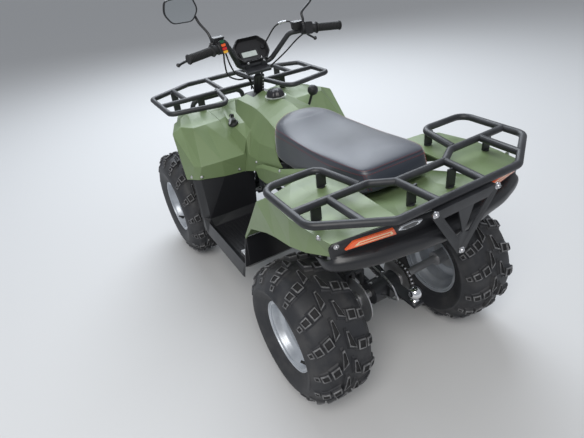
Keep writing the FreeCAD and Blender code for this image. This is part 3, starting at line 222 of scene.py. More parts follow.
# Frame, arms, racks, bumper, stem and hitch: steel tube and plate with a satin black powder coat.
# The coat has a fine orange peel, rounds every edge and is dusty in patches.
POWDER = (0.014, 0.015, 0.018)
POWDER_WORN = (0.036, 0.038, 0.043)

powder = Finish("black_powder_coat", POWDER, 0.42)
peel = powder.noise(420, 2)
patches = powder.noise(9, 4, 0.6)
powder.tones(POWDER, POWDER_WORN, patches.step(0.35, 0.75))
powder.dull(patches, 0.36, 0.16)
powder.bump(peel, 0.00035, 0.5)


def show(mesh, name, body, finishes, slot, stands_for=(), smooth=35):
    """Turns a finished bmesh into a piece that rides on a body."""
    data = bpy.data.meshes.new(name)
    mesh.to_mesh(data)
    mesh.free()
    data.shade_smooth()
    data.set_sharp_from_angle(angle=math.radians(smooth))
    for finish in finishes if isinstance(finishes, (list, tuple)) else [finishes]:
        data.materials.append(finish.material)
    piece = bpy.data.objects.new(name, data)
    bpy.context.scene.collection.objects.link(piece)
    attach(piece, body)
    if stands_for:
        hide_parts(*stands_for)
    return piece


def show_closed(mesh, *details):
    """Turns the faces of a closed bmesh outwards and shows it."""
    bmesh.ops.recalc_face_normals(mesh, faces=mesh.faces)
    return show(mesh, *details)


def skin(mesh, rings, closed=True, caps=False, material=0):
    """Faces over rings of points. A closed ring joins its last point to its first."""
    loops = [[mesh.verts.new(p) for p in ring] for ring in rings]
    for low, high in zip(loops, loops[1:]):
        count = len(low)
        for k in range(count if closed else count - 1):
            after = (k + 1) % count
            mesh.faces.new((low[k], low[after], high[after], high[k])).material_index = material
    if caps:
        mesh.faces.new(loops[0][::-1]).material_index = material
        mesh.faces.new(loops[-1]).material_index = material


def standing(at, axis):
    """A place whose own Z points along an axis."""
    return Matrix.Translation(at) @ Vector(axis).to_track_quat("Z", "Y").to_matrix().to_4x4()


# Lobes press only into rings wider than the first of these, and no ring is narrower than the second.
LOBED_RADIUS, LEAST_RADIUS = 0.02, 0.00001


def lathe(mesh, profile, place, steps=32, material=0, lobes=0, depth=0.0):
    """Turns (radius, height) points about a place's Z. Lobes press hollows into the rim."""
    rings = []
    for radius, height in profile:
        ring = []
        for k in range(steps):
            angle = math.tau * k / steps
            hollow = depth * (0.5 - 0.5 * math.cos(lobes * angle)) * (radius > LOBED_RADIUS)
            out = max(radius - hollow, LEAST_RADIUS)
            ring.append(place @ Vector((out * math.cos(angle), out * math.sin(angle), height)))
        rings.append(ring)
    skin(mesh, rings, caps=True, material=material)


def wire(mesh, points, radius, sides=8, material=0):
    """A round wire or hose along points."""
    rings = []
    # any direction will do that the line doesn't start along
    side = Vector((0.31, 0.17, 0.93))
    for k, point in enumerate(points):
        along = (points[min(k + 1, len(points) - 1)] - points[max(k - 1, 0)]).normalized()
        side = (side - along * side.dot(along)).normalized()
        other = along.cross(side)
        angles = [math.tau * j / sides for j in range(sides)]
        rings.append([point + (side * math.cos(a) + other * math.sin(a)) * radius for a in angles])
    skin(mesh, rings, caps=True, material=material)


def smooth_line(points, steps=8):
    """A Catmull-Rom line through points."""
    points = [Vector(p) for p in points]
    ends = [2 * points[0] - points[1]] + points + [2 * points[-1] - points[-2]]
    line = []
    for a, b, c, d in zip(ends, ends[1:], ends[2:], ends[3:]):
        for k in range(steps):
            t = k / steps
            bend = 2 * a - 5 * b + 4 * c - d
            twist = 3 * b - a - 3 * c + d
            line.append((2 * b + (c - a) * t + bend * t ** 2 + twist * t ** 3) / 2)
    return line + [points[-1]]


def spaced(line, gap):
    """Points and directions at equal distances along a line of points."""
    stations = []
    wanted = gap / 2
    done = 0.0
    for a, b in zip(line, line[1:]):
        length = (b - a).length
        while wanted <= done + length:
            stations.append((a.lerp(b, (wanted - done) / length), (b - a).normalized()))
            wanted += gap
        done += length
    return stations


def surface_of(piece):
    """A piece's shown surface, for finding where things sit on it."""
    bpy.context.view_layer.update()
    return BVHTree.FromObject(piece, bpy.context.evaluated_depsgraph_get())


def sight(px, py):
    """The direction from the camera through a point of its 584 x 438 picture."""
    reach = CAMERA_LENS / CAMERA_SENSOR * PICTURE[0]
    return (looking * reach + right * (px - PICTURE[0] / 2) - up * (py - PICTURE[1] / 2)).normalized()


def landed(tree, start, direction):
    """Where a line meets a surface, and the normal on the side that the line comes from."""
    spot, normal, _, _ = tree.ray_cast(Vector(start), Vector(direction))
    if normal.dot(Vector(direction)) > 0:
        normal = -normal
    return spot, normal


def mirrored(point, sign):
    """The point itself for a sign of 1, and its twin on the other side for -1."""
    return Vector((point[0], point[1] * sign, point[2]))


def grown(corners, share):
    """An outline made larger or smaller about its middle."""
    corners = [Vector(c) for c in corners]
    middle = sum(corners, Vector((0, 0))) / len(corners)
    return [middle + (c - middle) * share for c in corners]


def from_axle(x, y, z):
    """A point from millimetres ahead of the rear axle, to the left and up from the ground."""
    return Vector((x / 1000 - AXLE_X, y / 1000, z / 1000))


def dome_bolt(mesh, at, axis, radius):
    """A flanged button-head screw with its socket."""
    profile = [(1.5, -0.3), (1.5, 0.2), (1.05, 0.3), (1.0, 0.75), (0.8, 1.05), (0.5, 1.2), (0.42, 1.2),
               (0.4, 0.7), (0.0, 0.7)]
    lathe(mesh, [(r * radius, h * radius) for r, h in profile], standing(at, axis), 14)


def hex_nut(mesh, at, axis, radius, height, material=0):
    """A nut on its washer, with the end of its stud."""
    washer = [(radius * 1.35, -0.001), (radius * 1.35, 0.002), (radius * 1.15, 0.002)]
    nut = [(radius, 0.0), (radius, height * 0.85), (radius * 0.86, height)]
    stud = [(radius * 0.5, 0.0), (radius * 0.5, height + 0.003), (radius * 0.4, height + 0.005)]
    for profile, steps in ((washer, 20), (nut, 6), (stud, 16)):
        lathe(mesh, profile, standing(at, axis), steps, material)


# Faces that turn by less are one flat, and edges that turn by more are a sheet's rims.
FLAT_TURN, SHEET_RIM_TURN = math.radians(0.8), math.radians(58)
WELD = 0.00002


def eased(node, finish, edge=0.0015, smooth=35, segments=2, rim=1.0):
    """The node's own form with its edges rounded, as a cast, coated or moulded piece has them.

    A sheet's rims get a share of the rounding.
    """
    source = nodes[node]
    mesh = bmesh.new()
    mesh.from_mesh(source.data)
    bmesh.ops.remove_doubles(mesh, verts=mesh.verts, dist=WELD)
    bmesh.ops.dissolve_limit(mesh, angle_limit=FLAT_TURN, verts=mesh.verts, edges=mesh.edges)
    weights = mesh.edges.layers.float.new("bevel_weight_edge")
    for line in mesh.edges:
        turn = line.calc_face_angle(0.0)
        if turn > math.radians(smooth):
            line[weights] = rim if turn > SHEET_RIM_TURN else 1.0
    slot = [p["material_slot"] for p in frame["record"]["subparts"] if p["node"] == node][0]
    piece = show(mesh, node + "_finished", source["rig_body"], finish, slot, (node,), smooth)
    bevel = piece.modifiers.new("rounded", "BEVEL")
    bevel.width = edge
    bevel.segments = segments
    bevel.limit_method = "WEIGHT"
    bevel.harden_normals = True
    bevel.miter_outer = "MITER_ARC"
    return piece


steelwork = {}
for node in ("frame", "swingarm", "front_lower_arms", "front_upper_arms", "steering_stem", "front_bumper",
             "rear_plate", "tow_hitch", "rear_rack", "front_rack", "handlebar"):
    steelwork[node] = eased(node, powder, 0.001)


# Engine and exhaust: a cast case in dark grey, and a matt black silencer.
casting = Finish("cast_engine_metal", (0.055, 0.056, 0.06), 0.55, Metallic=0.6)
stain = casting.noise(14, 4).step(0.35, 0.7)
casting.tones((0.035, 0.036, 0.04), (0.10, 0.10, 0.105), stain)
casting.bump(casting.noise(260, 4, 0.6), 0.0006, 0.6)
eased("engine", casting, 0.002)

heat_black = Finish("heat_proof_black", (0.018, 0.018, 0.019), 0.6).grain(300, 3, 0.0004, 0.5)
eased("exhaust", heat_black, 0.001)


# Bare steel: zinc plated shaft, sprocket, rods, pegs and brake disc; the knuckles and the brake caliper take
# the cast metal.
zinc = Finish("zinc_plate", (0.52, 0.52, 0.53), 0.40, Metallic=0.75)
wipe = zinc.noise(30, 4, 0.65)
zinc.dull(wipe, 0.28, 0.25)
zinc.tones((0.38, 0.38, 0.39), (0.62, 0.62, 0.63), wipe)
for node in ("rear_axle_shaft", "sprocket", "brake_disc", "tie_rod_left", "tie_rod_right", "foot_pegs"):
    eased(node, zinc, 0.0008)
for node in ("knuckle_left", "knuckle_right", "brake_caliper"):
    eased(node, casting, 0.0015)


# Tyres: tubeless balloon tyres. Sixteen rows of blocks run from the crown to each shoulder, the two
# sides staggered by half a row, and every block has a raised outline round a sunk middle.
rubber = Finish("tyre_rubber", (0.024, 0.026, 0.031), 0.55)
dust = rubber.noise(11, 6, 0.62)
rubber.tones((0.022, 0.023, 0.027), (0.058, 0.057, 0.058), dust.step(0.40, 0.78))
rubber.dull(dust, 0.46, 0.28)
rubber.grain(340, 3, 0.0003, 0.5)
# The blocks' raised outlines are the same rubber painted pale: a painted highlight along their edges, varied
# in patches by a noise.
block_outline_highlight = Finish("tyre_block_outline_highlight", (0.17, 0.17, 0.175), 0.55).grain(500, 3, 0.0003, 0.5)
scuff_and_highlight = block_outline_highlight.noise(60, 4, 0.6).step(0.35, 0.7)
block_outline_highlight.tones((0.08, 0.08, 0.084), (0.21, 0.21, 0.215), scuff_and_highlight)
# The sunk middles are the same rubber painted near black: painted shade in the recess.
block_middle_shade = Finish("tyre_block_middle_shade", (0.013, 0.013, 0.014), 0.75).grain(400, 3, 0.0004, 0.5)

AXLE_X = 0.5835
BEAD_RADIUS = 0.1273
LUG_HEIGHT = 0.015
ROWS_ROUND = 16
ROUND_STEPS = 96
WHEELS = {
    # axle, tip radius, half width, rim width, centre plane, how much narrower the blocks are
    "rear": (-AXLE_X, 0.272, 0.125, 0.188, 0.348, 1.0),
    "front": (AXLE_X, 0.286, 0.089, 0.146, 0.391, 0.74),
}
BLOCKS = [
    # share of the full height, and corners in millimetres: out from the crown, and round the wheel
    (1.0, [(9, 4), (33, -10), (22, 56), (13, 58)]),
    (1.0, [(38, -22), (66, -30), (73, 3), (44, 12)]),
    (0.8, [(75, -33), (98, -38), (104, -10), (81, -3)]),
    (0.42, [(106, -40), (124, -43), (129, -22), (110, -17)]),
]
BLOCK_LAYERS = [
    # millimetres in from the corners, share of the block's height, material
    (-8.5, -1.5, 0), (-7.0, 0.10, 0), (-3.2, 0.26, 0), (-0.9, 0.34, 0), (-0.4, 0.80, 0), (0.4, 0.97, 1),
    (1.0, 1.0, 1), (4.4, 1.0, 1), (5.2, 0.93, 2), (6.2, 0.70, 2),
]
SIDEWALL_RINGS, RING_HEIGHT = (0.030, 0.075), 0.0012


def on_wheel(end, side, y, r, angle):
    """A point from a wheel's centre plane and axle, at an angle back from the wheel's top."""
    axle_x, axle_z, _, _, centre_y, _ = WHEELS[end]
    sign = 1 if side == "left" else -1
    return Vector((axle_x - r * math.sin(angle), sign * (centre_y + y), axle_z + r * math.cos(angle)))


def turned(mesh, end, side, profile, steps):
    """A closed outline of (y, radius) points turned round a wheel's axle."""
    rings = []
    for k in range(steps + 1):
        angle = math.tau * (k % steps) / steps
        rings.append([on_wheel(end, side, y, r, angle) for y, r in profile])
    skin(mesh, rings)
    bmesh.ops.remove_doubles(mesh, verts=mesh.verts, dist=WELD)


def carcass_line(radius, half, rim_width):
    """The carcass from the crown to the bead, as (distance along it, point, normal) samples."""
    carcass, bead_half = radius - LUG_HEIGHT, rim_width / 2 - 0.009
    corners = [(0, carcass), (half * 0.42, carcass - 0.002), (half - 0.032, carcass - 0.013),
               (half - 0.006, carcass - 0.046), (half - 0.001, BEAD_RADIUS + 0.064),
               (bead_half + 0.007, BEAD_RADIUS + 0.016), (bead_half, BEAD_RADIUS)]
    line = smooth_line([Vector((y, r, 0)) for y, r in corners], 12)
    samples = []
    done = 0.0
    for k, point in enumerate(line):
        along = line[min(k + 1, len(line) - 1)] - line[max(k - 1, 0)]
        normal = Vector((-along.y, along.x, 0)).normalized()
        samples.append((done, point, normal))
        if k + 1 < len(line):
            done += (line[k + 1] - point).length
    return samples


def carcass_point(samples, distance, height):
    """(y, radius) at a distance from the crown and a height over the carcass."""
    for (s0, p0, n0), (s1, p1, n1) in zip(samples, samples[1:]):
        if s0 <= distance <= s1:
            share = (distance - s0) / max(s1 - s0, 1e-9)
            point = p0.lerp(p1, share) + n0.lerp(n1, share).normalized() * height
            return point.x, point.y
    return samples[-1][1].x, samples[-1][1].y


def drawn_in(corners, margin):
    """The outline moved inwards, with a point midway along each side."""
    middle = sum(corners, Vector((0, 0))) / len(corners)
    moved = [c + (middle - c).normalized() * margin * 1.35 for c in corners]
    points = []
    for a, b in zip(moved, moved[1:] + moved[:1]):
        points += [a, a.lerp(b, 0.5)]
    return points


def tyre(end, side):
    _, radius, half, rim_width, _, narrow = WHEELS[end]
    samples = carcass_line(radius, half, rim_width)
    mesh = bmesh.new()
    # two fine raised rings on each sidewall
    outline = []
    for _, point, normal in samples:
        near = any(abs(point.y - BEAD_RADIUS - ring) < 0.002 for ring in SIDEWALL_RINGS)
        outline.append(point + normal * (RING_HEIGHT if near else 0.0))
    profile = [(-p.x, p.y) for p in reversed(outline[1:])] + [(0.0, outline[0].y)]
    profile += [(p.x, p.y) for p in outline[1:]]
    turned(mesh, end, side, profile, ROUND_STEPS)
    for row in range(ROWS_ROUND * 2):
        tread_side = 1 if row % 2 else -1
        start = row * math.tau / ROWS_ROUND / 2
        for share, corners in BLOCKS:
            corners = [Vector((out * narrow, along)) for out, along in corners]
            loops = []
            for margin, rise, _ in BLOCK_LAYERS:
                height = LUG_HEIGHT * rise * share if rise > 0 else -0.002
                ring = []
                for spot in drawn_in(corners, margin * (0.75 + 0.25 * narrow)):
                    y, r = carcass_point(samples, max(spot.x, 0.0) / 1000, height)
                    angle = start - spot.y / 1000 / radius
                    ring.append(mesh.verts.new(on_wheel(end, side, y * tread_side, r, angle)))
                loops.append(ring)
            for low, high, (_, _, material) in zip(loops, loops[1:], BLOCK_LAYERS[1:]):
                for k in range(len(low)):
                    after = (k + 1) % len(low)
                    mesh.faces.new((low[k], low[after], high[after], high[k])).material_index = material
            mesh.faces.new(loops[-1]).material_index = 2
    name = "%s_tyre_%s" % (end, side)
    finishes = [rubber, block_outline_highlight, block_middle_shade]
    show_closed(mesh, name + "_treaded", nodes[name]["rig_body"], finishes, "tyre_rubber", (name,), 38)


# Rims: pressed steel, silver outside, with a rolled lip, a second step inside it and a deep dish.
rim_paint = Finish("silver_rim_paint", (0.50, 0.53, 0.57), 0.33, Metallic=0.55, Coat_Weight=0.3)
film = rim_paint.noise(8, 4, 0.6)
rim_paint.tones((0.42, 0.45, 0.49), (0.60, 0.63, 0.67), film.step(0.3, 0.75))
rim_paint.dull(film, 0.30, 0.22)
rim_paint.grain(700, 2, 0.0002, 0.4)
valve_rubber = Finish("valve_rubber", (0.012, 0.012, 0.012), 0.5).grain(300, 2, 0.0002, 0.4)
RIM_STEPS = 84
RIM_DISC_INSET = {"rear": 0.088, "front": 0.058}
HUB = {"rear": (0.0161, 0.014, 0.0043), "front": (0.0121, 0.024, -0.016)}
VALVE_TURN = {"rear": math.radians(128), "front": math.radians(205)}
NUT_CIRCLE = 0.048
# radius and distance out from the rim's edge in millimetres, from the tyre over the lip into the dish
RIM_OUTSIDE = [
    (140, -5), (140.6, -2), (139.5, 0), (137, 0.3), (135, -1.5), (133.8, -6), (132, -8.5), (128.5, -9.2),
    (126, -10.2), (124.6, -13), (123, -18), (121, -32), (118, -38), (111, -44), (107.6, -49),
]
VALVE = [(0.0085, -0.002), (0.0085, 0.003), (0.0062, 0.007), (0.0055, 0.018), (0.0048, 0.022),
         (0.0048, 0.031), (0.0, 0.032)]


def rim(end, side):
    axle_x, radius, _, width, centre_y, _ = WHEELS[end]
    sign = 1 if side == "left" else -1
    half = width / 2
    disc = half - RIM_DISC_INSET[end]
    bore, hub_out, hub_in = HUB[end]
    mm = 0.001
    barrel = [(r * mm, half + y * mm) for r, y in RIM_OUTSIDE]
    # the dish's outer face, the hub and the dish's inner face
    dish = [(r, disc + y) for r, y in (
        (0.1070, 0.014), (0.1045, 0.005), (0.099, 0.0015), (0.090, 0.003), (0.080, 0.008), (0.074, 0.0115),
        (0.068, 0.0105), (0.066, 0.010), (0.0281, 0.010), (0.0275, hub_out - 0.001), (0.0265, hub_out),
        (bore, hub_out), (bore, hub_in), (0.028, hub_in), (0.028, 0.004), (0.068, 0.004), (0.074, 0.0055),
        (0.080, 0.003), (0.090, -0.002), (0.099, -0.004), (0.1045, -0.003), (0.1060, -0.009))]
    back = [(r * mm - 0.0005, -(half + y * mm)) for r, y in reversed(RIM_OUTSIDE)]
    under = [(0.1273, 0.005 - half), (0.1268, 0.034 - half), (0.112, 0.044 - half),
             (0.112, half - 0.044), (0.1268, half - 0.034), (0.1273, half - 0.005)]
    mesh = bmesh.new()
    turned(mesh, end, side, [(y, r) for r, y in barrel + dish + back + under], RIM_STEPS)
    # valve: a rubber stem that leans out of the barrel near the second step
    turn = VALVE_TURN[end]
    outward = Vector((-math.sin(turn), 0, math.cos(turn)))
    foot = Vector((axle_x, sign * (centre_y + half - 0.026), radius)) + outward * 0.1215
    lean = (-outward * 0.75 + Vector((0, sign, 0)) * 0.66).normalized()
    lathe(mesh, VALVE, standing(foot, lean), 16, 1)
    # four wheel nuts on the disc
    for k in range(4):
        spot = on_wheel(end, side, disc + 0.010, NUT_CIRCLE, math.tau * (k + 0.5) / 4)
        hex_nut(mesh, spot, (0, sign, 0), 0.0105, 0.012, 2)
    name = "%s_rim_%s" % (end, side)
    finishes = [rim_paint, valve_rubber, zinc]
    show_closed(mesh, name + "_pressed", nodes[name]["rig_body"], finishes, "rim_paint", (name,), 32)


for side in ("left", "right"):
    for end in ("front", "rear"):
        tyre(end, side)
        rim(end, side)


# Mouldings: olive green polypropylene with a fine grain, flat facets and softly rounded creases.
GREEN_DEEP, GREEN_PALE = (0.150, 0.215, 0.095), (0.180, 0.245, 0.118)
green = Finish("olive_green_moulding", GREEN_DEEP, 0.42, Specular_IOR_Level=0.62)
green.tones(GREEN_DEEP, GREEN_PALE, green.noise(4.5, 3))
green.dull(green.noise(24, 4), 0.34, 0.14)
green.grain(620, 2, 0.0002, 0.45)
mouldings = {}
for node in ("front_fenders", "tank_cover", "front_cowl", "side_panels", "rear_fenders", "rear_deck"):
    mouldings[node] = eased(node, green, edge=0.006, smooth=9, segments=3, rim=0.32)

# Black mouldings: the apron and the footwells are smooth and satin, the rest is grained.
satin = Finish("black_satin_moulding", (0.014, 0.0145, 0.017), 0.34, Specular_IOR_Level=0.55)
satin.dull(satin.noise(18, 4), 0.30, 0.14)
satin.grain(700, 2, 0.00015, 0.4)

# Rear apron: a flat recess for the lamps over a ledge, then a full roll that turns in under its lower edge
APRON_ROWS = [
    # from the middle outwards, in millimetres from the rear axle: top edge, foot of the recess, ledge, then
    # the roll down to the lower edge
    [(-297, 0, 805), (-294, 92, 805), (-282.5, 167.5, 805.5), (-263.9, 256, 802), (-237.6, 379.8, 791.5),
     (-226.5, 369.8, 735)],
    [(-291, 0, 750), (-289, 92, 750), (-279.2, 167.5, 750), (-259.5, 262, 750), (-236.6, 372, 748),
     (-222, 368, 729)],
    [(-322, 0, 745), (-316, 92, 745), (-302, 167, 745), (-284, 268, 745), (-240, 370, 743), (-200, 374, 720)],
    [(-332, 0, 733), (-326, 92, 733), (-312, 167, 733), (-293, 268, 732), (-246, 378, 730), (-176, 381, 714)],
    [(-332, 0, 714), (-326, 92, 714), (-312, 167, 714), (-293, 268, 712), (-240, 383, 710), (-152, 381, 704)],
    [(-322, 0, 697), (-316, 92, 697), (-303, 167, 697), (-283, 266, 697), (-228, 380, 697), (-147, 378, 697)],
    [(-306, 0, 690), (-300, 92, 690), (-290, 167, 690), (-268, 260, 690), (-212, 374, 691), (-146, 372, 692)],
    [(-296, 0, 693), (-290, 92, 693), (-280, 167, 693), (-259, 256, 693), (-204, 366, 694), (-146, 366, 695)],
]
APRON_WALL = 0.003
across_rows = []
for half_row in APRON_ROWS:
    right_half = [(x, -y, z) for x, y, z in reversed(half_row[1:])]
    across_rows.append(smooth_line([from_axle(*p) for p in right_half + half_row], 6))
apron_mesh = bmesh.new()
sheet = []
for column in zip(*across_rows):
    top, foot, ledge = column[:3]
    recess = [top, top.lerp(foot, 0.5), top.lerp(foot, 0.94)]
    recess += [foot, foot.lerp(ledge, 0.10), foot.lerp(ledge, 0.6)]
    sheet.append(recess + smooth_line(column[2:], 4))
skin(apron_mesh, sheet, closed=False)
bmesh.ops.recalc_face_normals(apron_mesh, faces=apron_mesh.faces)
if sum(f.normal.x * f.calc_area() for f in apron_mesh.faces) > 0:
    bmesh.ops.reverse_faces(apron_mesh, faces=apron_mesh.faces)
apron = show(apron_mesh, "rear_apron_rolled", "chassis", satin, "black_plastic", ("rear_apron",), 40)
thickness = apron.modifiers.new("sheet", "SOLIDIFY")
thickness.thickness = APRON_WALL
thickness.offset = -1

grained = Finish("black_grained_moulding", (0.015, 0.015, 0.017), 0.5)
grained.dull(grained.noise(30, 3), 0.44, 0.12)
grained.bump(grained.cells(520), 0.0003, 0.5)
for node in ("ignition_switch", "gear_lever", "stem_shroud", "air_box"):
    eased(node, grained, 0.0015, 30)
footwells = eased("footwells", satin, edge=0.006, smooth=9, segments=3, rim=0.3)


# Tread ribs on the footwell floors.
FLOOR_Z = landed(surface_of(footwells), (0.0, 0.30, 0.60), (0, 0, -1))[0].z
RIB_COUNT, RIB_FIRST_Y, RIB_PITCH = 9, 0.218, 0.0195
RIB_BACK, RIB_FRONT, RIB_TAPER = -0.196, 0.150, 0.006
RIB_SECTION = [(-0.0045, -0.001), (-0.0030, 0.0026), (0.0030, 0.0026), (0.0045, -0.001)]
RIB_STATIONS = [(RIB_BACK, 0.0), (RIB_BACK + RIB_TAPER, 1.0), (RIB_FRONT - RIB_TAPER, 1.0), (RIB_FRONT, 0.0)]


def rib_ring(x, y, share):
    """The section at x, full at a share of 1 and flat at 0."""
    ring = []
    for across, rise in RIB_SECTION:
        height = rise * share if rise > 0 else rise
        ring.append(Vector((x, y + across * (0.4 + 0.6 * share), FLOOR_Z + height)))
    return ring


ribs = bmesh.new()
for sign in (1, -1):
    for k in range(RIB_COUNT):
        y = sign * (RIB_FIRST_Y + RIB_PITCH * k)
        skin(ribs, [rib_ring(x, y, share) for x, share in RIB_STATIONS], caps=True)
show_closed(ribs, "footwell_ribs", "chassis", grained, "black_plastic")


# Seat: foam under smooth black vinyl. Stitched seams run along both top edges and round the back, and two
# rows of red thread lie along each of them.
SEAM = [
    # rear axle forwards, to the left, height: the stitched edge from the tail to the nose
    (-70, 0, 851), (-69.5, 60, 850.5), (-68, 100, 849), (-61, 123, 848), (-44, 136, 848), (-10, 143, 846),
    (48, 148, 840), (107, 149, 833), (180, 149, 831), (250, 148, 832), (342, 146, 831), (400, 144, 829),
    (445, 145, 828), (482, 143, 826), (512, 129, 832), (534, 98, 848), (547, 50, 862), (550, 0, 868),
]
FOOT = [
    (-97, 0, 795), (-96.5, 56, 795), (-95, 98, 795), (-88, 118, 793), (-66, 133, 781), (-20, 142, 774),
    (48, 147.5, 764), (107, 150.5, 757), (180, 151.5, 742), (250, 152, 731), (342, 150, 721), (400, 148, 721),
    (447, 153, 724), (484, 151, 735), (510, 135, 752), (530, 98, 770), (536, 48, 778), (538, 0, 780),
]
CROWN = [(-62, 866), (20, 870), (107, 866), (180, 855), (250, 847), (342, 847), (400, 858), (440, 871),
         (470, 880), (510, 885), (540, 880)]


def crown_height(x):
    for (x0, z0), (x1, z1) in zip(CROWN, CROWN[1:]):
        if x <= x1:
            share = max(0.0, (x - x0) / (x1 - x0))
            share = share * share * (3 - 2 * share)
            return z0 + (z1 - z0) * share
    return CROWN[-1][1]


def seat_loop(points):
    """The whole loop from its left half, in metres in the frame's own place."""
    left = [from_axle(*p) for p in points]
    return left + [mirrored(p, -1) for p in reversed(left[1:-1])]


seam_loop, foot_loop = seat_loop(SEAM), seat_loop(FOOT)
SPINE_TAIL, SPINE_NOSE = 30, 430
NOSE_START, NOSE_REACH = 330, 200


def on_top(share):
    """A loop on the cushion's top: share runs from the seam to the middle line."""
    loop = []
    for p in seam_loop:
        x = (p.x + AXLE_X) * 1000
        spine = min(max(x, SPINE_TAIL), SPINE_NOSE)
        at_x = x + (spine - x) * share
        nose = min(max((x - NOSE_START) / NOSE_REACH, 0.0), 1.0)
        rise = (1 - (1 - share) ** (2.6 - 0.6 * nose)) ** (1 / (2.2 - 0.6 * nose))
        z = p.z * 1000 + (crown_height(at_x) - p.z * 1000) * rise
        loop.append(Vector((at_x / 1000 - AXLE_X, p.y * (1 - share), z / 1000)))
    return loop


SEAT_MIDDLE_X, SIDE_BULGE = 0.2 - AXLE_X, 0.0025


def seat_outward(p):
    """Level and away from the seat's middle."""
    return Vector((p.x - SEAT_MIDDLE_X, p.y * 2.4, 0)).normalized()


def on_side(share):
    """A loop on the cushion's side: share runs from the seam to the foot."""
    loop = []
    for p, q in zip(seam_loop, foot_loop):
        loop.append(p.lerp(q, share) + seat_outward(p) * SIDE_BULGE * math.sin(math.pi * share))
    return loop


def sunk(loop, depth):
    return [p - seat_outward(p) * depth - Vector((0, 0, depth * 0.4)) for p in loop]


def under_foot(length, width, drop):
    """The foot loop drawn in towards the middle and lowered."""
    middle = SEAT_MIDDLE_X * (1 - length)
    return [Vector((p.x * length + middle, p.y * width, p.z - drop)) for p in foot_loop]


seat_mesh = bmesh.new()
tail_x, nose_x = (x / 1000 - AXLE_X for x in (SPINE_TAIL, SPINE_NOSE))
under, tuck = under_foot(0.97, 0.90, 0.006), under_foot(0.995, 0.985, 0.004)
base = [Vector((min(max(p.x, tail_x), nose_x), 0, p.z)) for p in under]
loops = [base, under, tuck]
loops += [on_side(share) for share in (1.0, 0.85, 0.6, 0.35, 0.14, 0.05)]
loops += [sunk(seam_loop, 0.0012)]
loops += [on_top(share) for share in (0.022, 0.06, 0.12, 0.2, 0.32, 0.5, 0.72, 0.88, 1.0)]
skin(seat_mesh, loops)
bmesh.ops.remove_doubles(seat_mesh, verts=seat_mesh.verts, dist=0.0001)
# The vinyl is black; its blue cast is painted sky sheen, and a noise varies its tone at random.
vinyl = Finish("seat_vinyl", (0.026, 0.029, 0.038), 0.38, Specular_IOR_Level=0.75, Sheen_Weight=0.5,
               Sheen_Roughness=0.35)
handled_and_sheen = vinyl.noise(7, 4, 0.6)
vinyl.tones((0.021, 0.026, 0.040), (0.032, 0.038, 0.056), handled_and_sheen)
vinyl.dull(handled_and_sheen, 0.33, 0.14)
vinyl.bump(vinyl.cells(620, "SMOOTH_F1"), 0.00035, 0.45)
seat = show_closed(seat_mesh, "seat_cushion", "chassis", vinyl, "seat_vinyl", ("seat",), 60)
smoothing = seat.modifiers.new("smoothing", "SUBSURF")
smoothing.levels = smoothing.render_levels = 2
seat_skin = surface_of(seat)

thread = Finish("red_thread", (0.24, 0.022, 0.022), 0.6).grain(900, 2, 0.0002, 0.5)
thread.tones((0.16, 0.015, 0.015), (0.32, 0.035, 0.035), thread.noise(400, 2))
stitches = bmesh.new()
STITCH, STITCH_GAP, THREAD_RADIUS, THREAD_LIFT = 0.0060, 0.0088, 0.00065, 0.0006


def stitch_row(line):
    for spot, along in spaced(line, STITCH_GAP):
        ends = []
        for k in (-1, -0.55, 0, 0.55, 1):
            hit, normal, _, _ = seat_skin.find_nearest(spot + along * k * STITCH / 2)
            ends.append(hit + normal * (THREAD_LIFT if abs(k) < 1 else -THREAD_LIFT))
        wire(stitches, ends, THREAD_RADIUS, 6)


for loop in (on_side(0.10), on_top(0.035)):
    smooth = smooth_line(loop[:len(SEAM)], 6)
    stitch_row(smooth)
    stitch_row([mirrored(p, -1) for p in smooth])
for sign in (1, -1):
    for k in (3, 3.35):
        whole, part = int(k), k - int(k)
        top = seam_loop[whole].lerp(seam_loop[whole + 1], part)
        low = foot_loop[whole].lerp(foot_loop[whole + 1], part)
        line = [top.lerp(low, 0.12 + 0.8 * j / 6) for j in range(7)]
        stitch_row([mirrored(p, sign) for p in line])
show_closed(stitches, "seat_stitches", "chassis", thread, "seat_vinyl")


# Lamps: orange-red reflectors with a pale line inside, in a black recess, and a clear lamp by each inner end.
# The recess is a flat on each side: a point of it in millimetres, its sweep outwards and its slope upwards.
RECESS_AT, RECESS_SWEEP, RECESS_SLOPE = (-281, 167.5, 780), 0.208, -0.06


def recess_point(y, z, out):
    """The flat under the rear edge that carries the lamps, in millimetres from the rear axle."""
    x = RECESS_AT[0] + RECESS_SWEEP * (abs(y) - RECESS_AT[1]) + RECESS_SLOPE * (z - RECESS_AT[2])
    outward = Vector((-1.0, RECESS_SWEEP * (1 if y > 0 else -1), RECESS_SLOPE)).normalized()
    return from_axle(x, y, z) + outward * out / 1000


reflector = Finish("reflector_lens", (0.72, 0.085, 0.022), 0.16, Coat_Weight=0.8, Coat_Roughness=0.05)
prisms = reflector.cells(420)
reflector.tones((0.62, 0.055, 0.012), (0.85, 0.14, 0.04), prisms.step(0.1, 0.6))
reflector.bump(prisms, 0.0004, 0.5)
pale_line = Finish("reflector_line", (0.80, 0.62, 0.38), 0.3, Coat_Weight=0.4).grain(300, 2, 0.0002, 0.3)
clear_lamp = Finish("clear_lamp_lens", (0.52, 0.54, 0.57), 0.14, Metallic=0.7, Coat_Weight=1.0)
clear_lamp.bump(clear_lamp.cells(260), 0.0006, 0.6)
smoked = Finish("smoked_lens", (0.03, 0.032, 0.036), 0.12, Coat_Weight=1.0)
smoked.bump(smoked.cells(300), 0.0004, 0.5)
lamps = bmesh.new()
